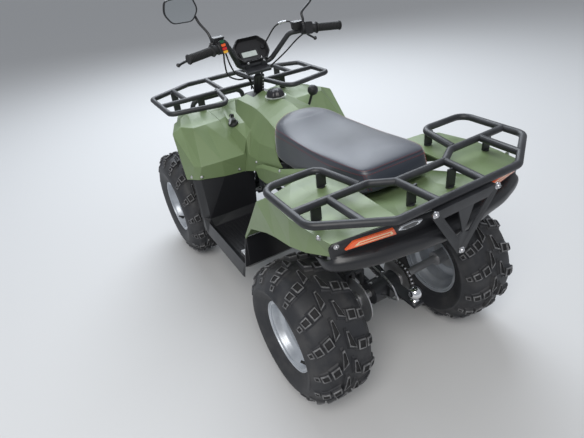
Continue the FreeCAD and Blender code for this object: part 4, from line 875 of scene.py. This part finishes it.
# y and height in millimetres
REFLECTOR = [(342, 768), (318, 789), (200, 793), (190, 772)]
LINE_OUT = [(316, 773.5), (304, 784.5), (207, 788), (201, 776.5)]
LINE_IN = [(306, 776), (300, 781.5), (212, 784.8), (208, 779)]
CLEAR_LAMP = [(185, 780), (174, 791), (136, 797), (110, 794), (120, 783), (162, 776)]
LENSES = [
    # outline, layers of (scale, millimetres out of the recess), material
    (REFLECTOR, ((1.0, 0.3), (1.0, 6.5), (0.985, 7.8), (0.96, 8.3)), 0),
    (CLEAR_LAMP, ((1.0, -2.0), (1.0, 4.5), (0.94, 6.0), (0.78, 6.2), (0.72, 4.6), (0.70, 4.0)), 2),
    (CLEAR_LAMP, ((0.73, 3.8), (0.71, 4.8), (0.3, 5.6)), 3),
]


def lens(sign, outline, layers, material):
    rings = []
    for scale, out in layers:
        rings.append([recess_point(sign * c.x, c.y, out) for c in grown(outline, scale)])
    skin(lamps, rings, caps=True, material=material)


for sign in (1, -1):
    lens(sign, *LENSES[0])
    for a, b, c, d in zip(LINE_OUT, LINE_OUT[1:] + LINE_OUT[:1], LINE_IN[1:] + LINE_IN[:1], LINE_IN):
        strip = [[recess_point(sign * y, z, out) for y, z in (a, b, c, d)] for out in (7.6, 8.9)]
        skin(lamps, strip, caps=True, material=1)
    lens(sign, *LENSES[1])
    lens(sign, *LENSES[2])
lamp_finishes = [reflector, pale_line, clear_lamp, smoked]
show_closed(lamps, "rear_reflectors", "chassis", lamp_finishes, "lamp_lens", ("tail_lamps",), 30)

glass = Finish("headlamp_glass", (0.62, 0.66, 0.70), 0.08, Metallic=0.5, Coat_Weight=1.0)
glass.bump(glass.cells(160), 0.0012, 0.6)
eased("headlamps", glass, 0.003)


# Screws: bright button heads along the mouldings, the plate bracket and the clamps.
bright = Finish("bright_screw_metal", (0.66, 0.66, 0.68), 0.24, Metallic=1.0)
bright.dull(bright.noise(90, 3), 0.20, 0.2)
chrome = Finish("chrome_plate", (0.80, 0.80, 0.82), 0.09, Metallic=1.0)
chrome.dull(chrome.noise(40, 3), 0.06, 0.10)
screws = bmesh.new()


def screw_seen(trees, px, py, radius):
    """A screw on the nearest surface where the photograph shows one, and its twin on the other side."""
    hits = [tree.ray_cast(CAMERA_AT, sight(px, py)) for tree in trees]
    spot, normal, _, _ = min((hit for hit in hits if hit[0]), key=lambda hit: hit[3])
    if normal.dot(sight(px, py)) > 0:
        normal = -normal
    for sign in (1, -1):
        dome_bolt(screws, mirrored(spot, sign), mirrored(normal, sign), radius)


# The front fenders' outer edge narrows towards the nose, and their inner rear edge keeps clear of the cover.
FENDER_LIMITS = [(0.3555, 0.440), (0.4835, 0.392), (0.5835, 0.352), (0.8455, 0.285)]
FENDER_ROOT = 0.25
INNER_EDGE_X, INNER_EDGE_Y, INNER_EDGE_MOVE = 0.19, 0.205, 0.010
for vertex in mouldings["front_fenders"].data.vertices:
    x, y = vertex.co.x, abs(vertex.co.y)
    if x < INNER_EDGE_X and y < INNER_EDGE_Y:
        vertex.co.y = math.copysign(y - INNER_EDGE_MOVE, vertex.co.y)
        continue
    for (x0, limit0), (x1, limit1) in zip(FENDER_LIMITS, FENDER_LIMITS[1:]):
        if x0 < x <= x1 + 0.01 and y > FENDER_ROOT:
            limit = limit0 + (limit1 - limit0) * min((x - x0) / (x1 - x0), 1.0)
            y = FENDER_ROOT + (y - FENDER_ROOT) * (limit - FENDER_ROOT) / (FENDER_LIMITS[0][1] - FENDER_ROOT)
            vertex.co.y = math.copysign(y, vertex.co.y)
            break

SCREWS_SEEN = [
    # the mouldings it may sit on, its place in the picture, its radius
    (["front_fenders"], 191.8, 177, 0.005), (["front_fenders"], 202, 177, 0.005),
    (["front_fenders"], 239.5, 169.1, 0.005), (["tank_cover", "side_panels"], 256.6, 162.0, 0.0045),
    (["tank_cover", "side_panels"], 279.8, 171.2, 0.0045), (["rear_fenders"], 318.6, 238.0, 0.0055),
    (["rear_apron"], 336.2, 247.0, 0.0055),
]
PLATE_SCREWS, PLATE_SCREW_X, PLATE_SCREW_RADIUS = [(120, 837), (-120, 837), (0, 666)], -350.2, 0.0072
screw_trees = {node: surface_of(mouldings[node])
               for node in ("front_fenders", "tank_cover", "side_panels", "rear_fenders")}
screw_trees["rear_apron"] = surface_of(apron)
for carriers, px, py, radius in SCREWS_SEEN:
    screw_seen([screw_trees[node] for node in carriers], px, py, radius)
for y, z in PLATE_SCREWS:
    dome_bolt(screws, from_axle(PLATE_SCREW_X, y, z), (-1, 0, 0), PLATE_SCREW_RADIUS)
show_closed(screws, "bright_screws", "chassis", bright, "bare_steel")


# Fuel cap: a dome with pressed lobes on a clear gasket ring.
CAP_PLACE = standing((0.1375, 0, 0.880), (0, 0, 1))
CAP_PROFILE = [
    (0.030, 0.0), (0.030, 0.008), (0.0405, 0.009), (0.0418, 0.011), (0.0418, 0.016), (0.0405, 0.020),
    (0.037, 0.028), (0.033, 0.0335), (0.027, 0.0375), (0.0195, 0.0402), (0.0190, 0.0394), (0.010, 0.0412),
    (0.0, 0.0416),
]
GASKET = [(0.036, 0.0085), (0.0485, 0.0088), (0.0485, 0.0105), (0.036, 0.0108)]
cap = bmesh.new()
lathe(cap, CAP_PROFILE, CAP_PLACE, 96, lobes=8, depth=0.0042)
lathe(cap, GASKET, CAP_PLACE, 64, 1)
gasket = Finish("clear_gasket", (0.62, 0.66, 0.62), 0.2, Alpha=0.55).grain(200, 2, 0.0002, 0.3)
show_closed(cap, "fuel_cap_lobed", "chassis", [satin, gasket], "black_plastic", ("fuel_cap",), 40)

# Key: the one in the switch has a black bow, and its spare hangs from it on a ring.
key = bmesh.new()
switch_low, switch_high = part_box("ignition_switch")
switch_top = Vector(((switch_low.x + switch_high.x) / 2, (switch_low.y + switch_high.y) / 2, switch_high.z))
KEY_BOW = []
for k in range(16):
    angle = math.tau * k / 16
    KEY_BOW.append((0.011 * math.cos(angle), 0.013 + 0.0095 * math.sin(angle)))
KEY_BLADE = [(-0.0040, 0.0), (0.0040, 0.0), (0.0040, 0.024), (0.0015, 0.031), (-0.0040, 0.026)]
KEY_PARTS = [
    # outline, place from the switch's top, direction, width direction, half thickness, material
    (KEY_BOW, (0, 0, 0), (-0.25, 0.20, 0.95), (0.55, 0.83, 0), 0.0026, 1),
    (KEY_BLADE, (-0.014, 0.012, 0.004), (-0.50, 0.60, -0.62), (0.7, 0.7, 0), 0.0012, 0),
]
for outline, offset, lean, width, half_thick, material in KEY_PARTS:
    at, lean, width = switch_top + Vector(offset), Vector(lean).normalized(), Vector(width)
    across = (width - lean * width.dot(lean)).normalized()
    thick = lean.cross(across)
    rings = [[at + across * u + lean * v + thick * w for u, v in outline] for w in (-half_thick, half_thick)]
    skin(key, rings, caps=True, material=material)
ring_middle = switch_top + Vector((-0.007, 0.006, 0.011))
RING_ACROSS, RING_UP = Vector((-0.75, 0.60, -0.55)), Vector((0.3, 0.3, 0.9))
hoop = []
for k in range(17):
    angle = math.tau * k / 16
    hoop.append(ring_middle + RING_ACROSS * 0.0095 * math.cos(angle) + RING_UP * 0.0075 * math.sin(angle))
wire(key, hoop, 0.0007, 6)
show_closed(key, "ignition_key", "chassis", [bright, grained], "bare_steel")


# Brake hose from the frame to the axle carrier, and the carrier's bolts
HOSE_MIDDLE = [(-0.592, 0.046, 0.402), (-0.6425, 0.042, 0.389), (-0.6875, 0.040, 0.371),
               (-0.708, 0.038, 0.345), (-0.712, 0.036, 0.318)]
CARRIER_BOLTS = [(368, 291), (371, 283), (377, 277), (383, 272), (381, 303), (391, 268), (389, 300)]
carrier_tree = surface_of(steelwork["swingarm"])
hose_top = surface_of(steelwork["frame"]).find_nearest(Vector((-0.560, 0.045, 0.470)))[0]
hose_foot = carrier_tree.find_nearest(Vector((-0.690, 0.035, 0.300)))[0]
hose = bmesh.new()
wire(hose, smooth_line([hose_top, *HOSE_MIDDLE, hose_foot], 8), 0.0034, 10)
for px, py in CARRIER_BOLTS:
    spot, normal, _, _ = carrier_tree.ray_cast(CAMERA_AT, sight(px, py))
    if spot:
        dome_bolt(hose, spot, normal, 0.0042)
show_closed(hose, "brake_hose_and_bolts", "chassis", bright, "bare_steel")


# Hitch ball, chrome plated on its neck
hitch = bmesh.new()
BALL = Vector((-0.7485, -0.015, 0.352))
ball_profile = [(0.0172, -0.0381), (0.0172, -0.030), (0.0135, -0.027), (0.0135, -0.0215)]
for k in range(12):
    angle = math.radians(-58 + 12 * k)
    ball_profile.append((0.0252 * math.cos(angle), 0.0252 * math.sin(angle)))
ball_profile += [(0.0085, 0.0238), (0.0, 0.0238)]
lathe(hitch, ball_profile, standing(BALL, (0, 0, 1)), 40)
show_closed(hitch, "hitch_ball_chrome", nodes["tow_hitch"]["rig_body"], chrome, "bare_steel", (), 30)


# Chain: rollers between two rows of waisted side plates, on both runs and round both sprockets.
CHAIN_PITCH, CHAIN_Y = 0.015875, -0.082
REAR_SPROCKET, FRONT_SPROCKET = (-AXLE_X, 0.272, 0.0865), (0.412 - AXLE_X, 0.322, 0.0365)
# half a side plate's outline: share of the pitch along it, and half its height
PLATE_WAIST = [(-0.42, 0.0), (-0.30, 0.0046), (0.0, 0.0064), (0.28, 0.0058), (0.5, 0.0042), (0.72, 0.0058),
               (1.0, 0.0064), (1.30, 0.0046), (1.42, 0.0)]
PLATE_OUTLINE = PLATE_WAIST + [(s, -h) for s, h in reversed(PLATE_WAIST[1:-1])]
PLATE_THICKNESS = 0.0014


def chain_line():
    """The pitch line as points: under the chain's two runs and round the sprockets."""
    (ax, az, ar), (bx, bz, br) = REAR_SPROCKET, FRONT_SPROCKET
    span = math.hypot(bx - ax, bz - az)
    base, open_by = math.atan2(bz - az, bx - ax), math.asin((ar - br) / span)
    quarter = math.pi / 2
    arcs = ((ax, az, ar, base + quarter - open_by, base + 1.5 * math.pi + open_by),
            (bx, bz, br, base - quarter + open_by, base + quarter - open_by))
    line = []
    for x, z, r, first, last in arcs:
        for k in range(25):
            angle = first + (last - first) * k / 24
            line.append(Vector((x + r * math.cos(angle), CHAIN_Y, z + r * math.sin(angle))))
    return line + line[:1]


pitch_line = chain_line()
length = sum((b - a).length for a, b in zip(pitch_line, pitch_line[1:]))
links = round(length / CHAIN_PITCH / 2) * 2
pins = [spot for spot, _ in spaced(pitch_line, length / links)][:links]
chain = bmesh.new()
for k, (pin, after) in enumerate(zip(pins, pins[1:] + pins[:1])):
    along = (after - pin).normalized()
    upward = along.cross(Vector((0, 1, 0)))
    reach = (after - pin).length
    lathe(chain, [(0.0050, -0.0042), (0.0050, 0.0042)], standing(pin, (0, 1, 0)), 10, 1)
    lathe(chain, [(0.0024, -0.0082), (0.0024, 0.0082)], standing(pin, (0, 1, 0)), 8, 1)
    offset = 0.0066 if k % 2 else 0.0049
    for side in (1, -1):
        plate = []
        for depth in (0.0, PLATE_THICKNESS):
            out = Vector((0, side * (offset + depth), 0))
            plate.append([pin + along * (s * reach) + upward * h + out for s, h in PLATE_OUTLINE])
        skin(chain, plate, caps=True)
oiled = Finish("oiled_chain_steel", (0.16, 0.15, 0.14), 0.38, Metallic=1.0)
grease = oiled.noise(55, 4, 0.65)
oiled.tones((0.05, 0.045, 0.04), (0.30, 0.29, 0.28), grease)
oiled.dull(grease, 0.26, 0.3)
chain_body = nodes["chain"]["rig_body"]
show_closed(chain, "drive_chain_links", chain_body, [oiled, bright], "chain_steel", ("chain",), 30)


def rounded(corners, radius, steps=5):
    """A closed outline with its corners rounded."""
    corners = [Vector(c) for c in corners]
    outline = []
    for before, corner, after in zip(corners[-1:] + corners[:-1], corners, corners[1:] + corners[:1]):
        start = corner + (before - corner).normalized() * min(radius, (before - corner).length * 0.48)
        end = corner + (after - corner).normalized() * min(radius, (after - corner).length * 0.48)
        for k in range(steps + 1):
            t = k / steps
            outline.append(start * (1 - t) ** 2 + corner * 2 * t * (1 - t) + end * t ** 2)
    return outline


def block(mesh, place, corners, layers, material=0):
    """A slab with an outline in a place's own XY; layers are (scale, height)."""
    rings = []
    for scale, height in layers:
        rings.append([place @ Vector((c.x, c.y, height)) for c in grown(corners, scale)])
    skin(mesh, rings, caps=True, material=material)


def oblong(width, height, radius=0.002, x=0.0, y=0.0):
    """A rectangle with rounded corners about (x, y)."""
    left, low = x - width / 2, y - height / 2
    far, high = x + width / 2, y + height / 2
    return rounded([(left, low), (far, low), (far, high), (left, high)], radius, 3)


def facing(at, out, along):
    """A place whose Z points out and whose X runs along."""
    out = Vector(out).normalized()
    side = (Vector(along) - out * Vector(along).dot(out)).normalized()
    return Matrix.Translation(at) @ Matrix((side, out.cross(side), out)).transposed().to_4x4()


# Grips: ribbed rubber with a flared inner flange and a closed outer end.
grip_rubber = Finish("grip_rubber", (0.015, 0.015, 0.016), 0.62)
grip_rubber.dull(grip_rubber.noise(60, 3), 0.52, 0.2)
grip_rubber.bump(grip_rubber.cells(700), 0.0003, 0.5)
GRIP_END = Vector((0.1305, 0.356, 1.122))
GRIP_AXIS = Vector((-0.025, 0.126, -0.009)).normalized()
GRIP_LENGTH = 0.112
grips = bmesh.new()
GRIP_PROFILE = [(0.0112, 0.0), (0.0235, 0.0), (0.0240, 0.0012), (0.0240, 0.0040), (0.0205, 0.0052),
                (0.0172, 0.0075)]
for k in range(15):
    height = 0.0095 + 0.0066 * k
    GRIP_PROFILE += [(0.0155, height), (0.0155, height + 0.0018), (0.0172, height + 0.0030),
                     (0.0172, height + 0.0054)]
GRIP_PROFILE += [(0.0158, 0.1095), (0.0195, 0.1110), (0.0195, 0.1150), (0.0182, 0.1168), (0.006, 0.1168),
                 (0.0, 0.1160)]
for sign in (1, -1):
    end = mirrored(GRIP_END, sign)
    axis = mirrored(GRIP_AXIS, sign)
    lathe(grips, GRIP_PROFILE, standing(end - axis * GRIP_LENGTH, axis), 28)
show_closed(grips, "ribbed_grips", "steering", grip_rubber, "grip_rubber", ("grips",), 40)

# Switches on the left housing
BUTTONS = {
    # colour, how far up the switch housing in metres
    "switch_green": ((0.008, 0.10, 0.040), 0.0195),
    "switch_orange": ((0.85, 0.13, 0.02), 0.0055),
    "switch_red": ((0.62, 0.015, 0.015), -0.0080),
    "switch_yellow": ((0.80, 0.42, 0.03), -0.0200),
}
BUTTON_LAYERS = [(1.0, -0.003), (1.0, 0.0032), (0.93, 0.0044), (0.75, 0.0040)]
POD = Vector((0.1607, 0.2034, 1.1329))
SWITCH_OUT = Vector((-1, 0, 0.25)).normalized()
switch_face = facing(POD + SWITCH_OUT * 0.0245, SWITCH_OUT, GRIP_AXIS)
switch_turn = 1 if (switch_face.to_3x3() @ Vector((0, 1, 0))).z > 0 else -1
for name, (colour, height) in BUTTONS.items():
    finish = Finish(name, colour, 0.35, Coat_Weight=0.3).grain(300, 2, 0.0002, 0.3)
    button = bmesh.new()
    place = switch_face @ Matrix.Translation((0.0, height * switch_turn, 0.0))
    block(button, place, oblong(0.018, 0.0105, 0.003), BUTTON_LAYERS)
    show_closed(button, name, "steering", finish, "black_plastic")

# Pods on both sides: a clamped housing with a switch box, a reservoir, a lever and a mirror socket
HOUSING = [(0.0115, -0.026), (0.021, -0.025), (0.0235, -0.022), (0.0240, -0.002), (0.0232, -0.001),
           (0.0232, 0.001), (0.0240, 0.002), (0.0235, 0.022), (0.021, 0.025), (0.0115, 0.026)]
CLAMP = [(0.0115, -0.009), (0.0185, -0.009), (0.0195, -0.007), (0.0195, 0.007), (0.0185, 0.009),
         (0.0115, 0.009)]
SWITCH_BOX = [(0.9, -0.004), (1.0, 0.004), (1.0, 0.0125), (0.94, 0.0145), (0.6, 0.0148)]
TANK = [(0.82, -0.016), (0.92, -0.013), (0.98, 0.006), (0.98, 0.010)]
TANK_LID = [(0.99, 0.0092), (1.02, 0.0105), (1.02, 0.0142), (0.96, 0.0162), (0.5, 0.0166)]
LEVER_BALL = [(0.0, -0.0085), (0.005, -0.0070), (0.0082, -0.002), (0.0082, 0.003), (0.005, 0.0078),
              (0.0, 0.0088)]
LEVER_PIVOT = [(0.0, -0.010), (0.0105, -0.010), (0.0105, 0.010), (0.0, 0.010)]
SOCKET_NUT = [(0.0095, -0.004), (0.0105, -0.002), (0.0105, 0.009), (0.0085, 0.012), (0.0055, 0.013)]
THROTTLE_RUN = [(0.182, -0.213, 1.122), (0.195, -0.216, 1.112), (0.186, -0.229, 1.098),
                (0.160, -0.241, 1.087)]
THROTTLE_PAD = [(0.0, -0.007), (0.0075, -0.004), (0.0085, 0.001), (0.006, 0.006), (0.0, 0.0075)]
pods = bmesh.new()
lid_screws = bmesh.new()
POD_PARTS = {
    # side: reservoir centre, its size, mirror socket, lever pivot and tip
    1: ((0.176, 0.209, 1.156), (0.036, 0.044), (0.164, 0.240, 1.146), (0.196, 0.222, 1.122),
        (0.186, 0.386, 1.098)),
    -1: ((0.184, -0.170, 1.150), (0.038, 0.048), (0.166, -0.190, 1.150), (0.198, -0.222, 1.120),
         (0.196, -0.376, 1.104)),
}
for sign, (tank_at, (length, width), socket, pivot, tip) in POD_PARTS.items():
    tank_at, socket, pivot, tip = (Vector(p) for p in (tank_at, socket, pivot, tip))
    axis = mirrored(GRIP_AXIS, sign)
    middle = mirrored(POD, sign)
    clamp_at = middle + axis * 0.034
    lathe(pods, HOUSING, standing(middle, axis), 28)
    lathe(pods, CLAMP, standing(clamp_at, axis), 24)
    switch_box = facing(middle + SWITCH_OUT * 0.010, SWITCH_OUT, axis)
    block(pods, switch_box, oblong(0.036, 0.050, 0.007), SWITCH_BOX)
    # reservoir on its clamp, under a lid with two screws
    tank = facing(tank_at, (0, 0, 1), (1, 0, 0))
    block(pods, tank, oblong(length, width, 0.006), TANK)
    block(pods, tank, oblong(length + 0.002, width + 0.002, 0.005), TANK_LID, 1)
    for along in (-0.36, 0.36):
        dome_bolt(lid_screws, tank @ Vector((0, width * along, 0.0155)), (0, 0, 1), 0.0026)
    wire(pods, smooth_line([clamp_at, clamp_at.lerp(tank_at, 0.6), tank_at], 4), 0.011, 12)
    # lever with a ball end
    lever = [pivot - axis * 0.016, pivot, pivot.lerp(tip, 0.3) + Vector((0.010, 0, 0.002)),
             pivot.lerp(tip, 0.7) + Vector((0.010, 0, 0.001)), tip]
    wire(pods, smooth_line(lever, 6), 0.0052, 10, 2)
    lathe(pods, LEVER_BALL, standing(tip, axis), 16, 2)
    lathe(pods, LEVER_PIVOT, standing(pivot, (0, 0, 1)), 18)
    wire(pods, [middle, pivot], 0.009, 10)
    # mirror socket
    socket_run = [middle + axis * 0.030, socket - Vector((0, 0, 0.012)), socket]
    wire(pods, smooth_line(socket_run, 4), 0.0085, 12)
    lathe(pods, SOCKET_NUT, standing(socket, (0, 0, 1)), 6)
# thumb throttle under the right grip
wire(pods, smooth_line(THROTTLE_RUN, 6), 0.0048, 10, 2)
lathe(pods, THROTTLE_PAD, standing((0.158, -0.242, 1.086), (-1, -0.4, 0)), 16, 2)
pod_nodes = ("control_left", "control_right")
show_closed(pods, "handlebar_pods", "steering", [grained, satin, satin], "black_plastic", pod_nodes, 35)

# Cables from both pods down behind the stem, one with a bright adjuster
CABLE_RUNS = [
    [(0.165, 0.198, 1.110), (0.168, 0.200, 1.062), (0.190, 0.184, 1.010), (0.240, 0.122, 0.970),
     (0.300, 0.052, 0.948), (0.334, 0.020, 0.925), (0.345, 0.018, 0.880)],
    [(0.170, 0.188, 1.110), (0.184, 0.170, 1.052), (0.225, 0.134, 1.000), (0.280, 0.078, 0.962),
     (0.326, 0.034, 0.935), (0.345, 0.008, 0.880)],
    [(0.198, -0.172, 1.150), (0.222, -0.146, 1.166), (0.262, -0.108, 1.152), (0.310, -0.086, 1.100),
     (0.352, -0.056, 1.030), (0.358, -0.024, 0.950), (0.350, -0.010, 0.880)],
    [(0.186, -0.205, 1.112), (0.215, -0.178, 1.084), (0.256, -0.132, 1.030), (0.300, -0.082, 0.980),
     (0.336, -0.036, 0.940), (0.348, -0.016, 0.880)],
]
cables = bmesh.new()
for run in CABLE_RUNS:
    wire(cables, smooth_line(run, 8), 0.0034, 10)
adjuster = smooth_line(CABLE_RUNS[2], 8)[9:15]
wire(cables, adjuster, 0.0052, 10, 1)
show_closed(cables, "handlebar_cables", "steering", [grip_rubber, bright], "grip_rubber", ("cables",), 40)

# Handlebar clamp screws, and the stem's slotted plate with its row of bright rivets
STEM_LEAN = math.radians(18)


def stem_place(height):
    """The stem's own place: X ahead of it, Y to the left, Z up along it."""
    at = Vector((0.3155 + (0.886 - height) * math.tan(STEM_LEAN), 0, height))
    return Matrix.Translation(at) @ Matrix.Rotation(-STEM_LEAN, 4, "Y")


head = stem_place(0.975)
up_stem = head.to_3x3() @ Vector((0, 0, 1))
for y in (0.040, -0.040):
    for x in (0.014, 0.036):
        dome_bolt(lid_screws, head @ Vector((x, y, 0.0370)), up_stem, 0.0052)
back_of_stem = head.to_3x3() @ Vector((-1, 0, 0))
plate = bmesh.new()
plate_place = facing(stem_place(0.918) @ Vector((-0.0125, 0, 0)), back_of_stem, (0, 1, 0))
block(plate, plate_place, oblong(0.052, 0.088, 0.004), [(1.0, -0.004), (1.0, 0.0035), (0.96, 0.0045)])
# The slots are not cut: two raised strips painted near black stand for them, as painted shade in the
# openings.
SLOT = oblong(0.006, 0.064, 0.0029)
for y in (-0.009, 0.009):
    block(plate, plate_place @ Matrix.Translation((y, 0, 0)), SLOT, [(1.0, 0.0046), (0.9, 0.0050)], 1)
for k in range(5):
    spot = plate_place @ Vector((-0.020, -0.032 + 0.016 * k, 0.0045))
    dome_bolt(lid_screws, spot, back_of_stem, 0.0022)
slot_shade_black = Finish("slot_shade_black", (0.003, 0.003, 0.003), 0.8).grain(200, 2, 0.0002, 0.3)
show_closed(plate, "stem_plate", "steering", [satin, slot_shade_black], "black_steel", (), 30)
show_closed(lid_screws, "handlebar_screws", "steering", bright, "bare_steel")

# Instrument: an eight-sided hood with a sunk face, a pale display and four keys under it.
DIAL = [(-60, -52), (60, -52), (86, -20), (86, 30), (52, 66), (-52, 66), (-86, 30), (-86, -20)]
DIAL_TILT = math.radians(38)
dial_out = Vector((-math.cos(DIAL_TILT), 0, math.sin(DIAL_TILT)))
dial_place = facing(Vector((0.3245, 0, 1.054)), dial_out, (0, 1, 0))
dial_turn = 1 if (dial_place.to_3x3() @ Vector((0, 1, 0))).z > 0 else -1
dial_corners = rounded([(y / 1000, z / 1000 * dial_turn) for y, z in DIAL], 0.008, 4)
HOOD_LAYERS = [(0.50, -0.045), (0.56, -0.043), (0.94, -0.028), (0.99, -0.010), (1.0, 0.002), (0.975, 0.013),
               (0.945, 0.0145), (0.915, 0.013), (0.885, 0.002), (0.83, -0.006), (0.5, -0.0065)]
BEZEL_LAYERS = [(1.04, -0.002), (1.0, 0.008), (0.95, 0.0100), (0.90, 0.0092)]
DISPLAY_LAYERS = [(1.0, 0.0088), (0.98, 0.0104)]
DIAL_KEY_LAYERS = [(1.0, -0.003), (1.0, 0.007), (0.85, 0.009)]
KNOB = [(0.010, -0.002), (0.010, 0.006), (0.008, 0.009), (0.0, 0.0095)]
dial = bmesh.new()
block(dial, dial_place, dial_corners, HOOD_LAYERS)
bezel_place = dial_place @ Matrix.Translation((0.016, -0.016 * dial_turn, -0.006))
block(dial, bezel_place, oblong(0.092, 0.050, 0.006), BEZEL_LAYERS)
block(dial, bezel_place, oblong(0.074, 0.025, 0.003, 0.0, 0.004 * dial_turn), DISPLAY_LAYERS, 1)
for k in range(4):
    key_place = dial_place @ Matrix.Translation((-0.030 + 0.020 * k, -0.046 * dial_turn, -0.004))
    block(dial, key_place, oblong(0.012, 0.0085, 0.003), DIAL_KEY_LAYERS, 2)
lathe(dial, KNOB, dial_place @ Matrix.Translation((-0.062, 0.010 * dial_turn, -0.006)), 24, 2)
display = Finish("display_glass", (0.50, 0.56, 0.53), 0.10, Coat_Weight=1.0, Specular_IOR_Level=0.7)
display.tones((0.44, 0.50, 0.47), (0.58, 0.63, 0.60), display.cells(90))
display.grain(60, 1, 0.0001, 0.2)
dial_finishes = [grained, display, satin]
show_closed(dial, "instrument_hooded", "steering", dial_finishes, "black_plastic", ("instrument",), 32)

# Mirrors: rounded six-sided heads on bent stalks
mirrors = bmesh.new()
HEAD = [(-70, -8), (-40, -48), (44, -46), (70, -6), (58, 40), (-52, 46)]
# (scale, x) layers from the back of the shell round its lip, and of the glass in it
SHELL_LAYERS = [(0.30, 0.024), (0.55, 0.0235), (0.80, 0.018), (0.95, 0.010), (1.0, 0.003), (1.0, -0.003),
                (0.985, -0.0052), (0.925, -0.0052), (0.905, -0.0036)]
GLASS_LAYERS = [(0.915, -0.0034), (0.905, -0.0041), (0.6, -0.0041)]
for sign in (1, -1):
    centre = Vector((0.190, 0.330 * sign, 1.290))
    socket = Vector(POD_PARTS[sign][2])
    stalk = [socket, socket + Vector((0.000, 0.001 * sign, 0.024)),
             socket + Vector((0.012, 0.006 * sign, 0.050)),
             socket.lerp(Vector((0.206, 0.275 * sign, 1.264)), 0.72), (0.206, 0.277 * sign, 1.264),
             (0.206, 0.300 * sign, 1.276)]
    wire(mirrors, smooth_line(stalk, 8), 0.0052, 12)
    outline = rounded([(u * sign / 1000, w / 1000) for u, w in HEAD], 0.018, 6)
    for layers, material in ((SHELL_LAYERS, 0), (GLASS_LAYERS, 1)):
        rings = [[centre + Vector((x, c.x, c.y)) for c in grown(outline, scale)] for scale, x in layers]
        skin(mirrors, rings, caps=True, material=material)
mirror_glass = Finish("mirror_glass", (0.80, 0.83, 0.84), 0.03, Metallic=1.0)
mirror_glass.dull(mirror_glass.noise(20, 2), 0.02, 0.04)
show_closed(mirrors, "mirrors_rounded", "steering", [satin, mirror_glass], "black_plastic", ("mirrors",), 40)


# Springs: each strut is a damper in a real coil between two seats, with an eye at each end.
spring_paint = Finish("spring_paint", (0.012, 0.012, 0.013), 0.25, Coat_Weight=0.5)
spring_paint.dull(spring_paint.noise(40, 3), 0.20, 0.2)


STRUTS = {
    # piece, its sides, lower eye, upper eye, body radius, coil radius, wire radius, turns
    "front_shocks": ("front_struts_coiled", (1, -1),
                     (AXLE_X, 0.236, 0.2264), (AXLE_X, 0.1063, 0.570), 0.020, 0.031, 0.0042, 8),
    "rear_shock": ("rear_strut_coiled", (1,),
                   (0.190 - AXLE_X, 0, 0.3433), (0.262 - AXLE_X, 0, 0.6627), 0.022, 0.036, 0.0050, 8),
}
DAMPER_ROD, EYE = 0.009, [(0.0065, -0.014), (0.012, -0.014), (0.012, 0.014), (0.0065, 0.014)]


def strut(mesh, foot, top, body_radius, coil_radius, wire_radius, turns, sign):
    """A coil-over strut between two eyes; a sign of -1 puts it on the right."""
    foot, top = mirrored(foot, sign), mirrored(top, sign)
    along = (top - foot).normalized()
    length = (top - foot).length
    place = standing(foot, along)
    body = [(0.011, 0.020), (body_radius, 0.034), (body_radius, length * 0.58),
            (body_radius - 0.003, length * 0.59)]
    lathe(mesh, [(DAMPER_ROD, 0.0), (DAMPER_ROD, length)], place, 20, 1)
    lathe(mesh, body, place, 28)
    for low, high in ((0.040, 0.045), (length - 0.050, length - 0.045)):
        cup = [(DAMPER_ROD, low - 0.002), (coil_radius, low), (coil_radius, high), (DAMPER_ROD, high + 0.002)]
        lathe(mesh, cup, place, 36)
    for eye in (foot, top):
        lathe(mesh, EYE, standing(eye, (1, 0, 0)), 24)
    start, end = 0.049, length - 0.054
    helix = []
    steps = turns * 20
    for k in range(steps + 1):
        angle = math.tau * turns * k / steps
        ease = min(1.0, k / 20, (steps - k) / 20)
        height = start + (end - start) * (k / steps)
        radius = (coil_radius - wire_radius) * (0.97 + 0.03 * ease)
        helix.append(place @ Vector((radius * math.cos(angle), radius * math.sin(angle), height)))
    wire(mesh, helix, wire_radius, 8)


for node, (name, sides, *measures) in STRUTS.items():
    struts = bmesh.new()
    for sign in sides:
        strut(struts, *measures, sign)
    show_closed(struts, name, "chassis", [spring_paint, zinc], "spring_steel", (node,))


bpy.context.view_layer.update()
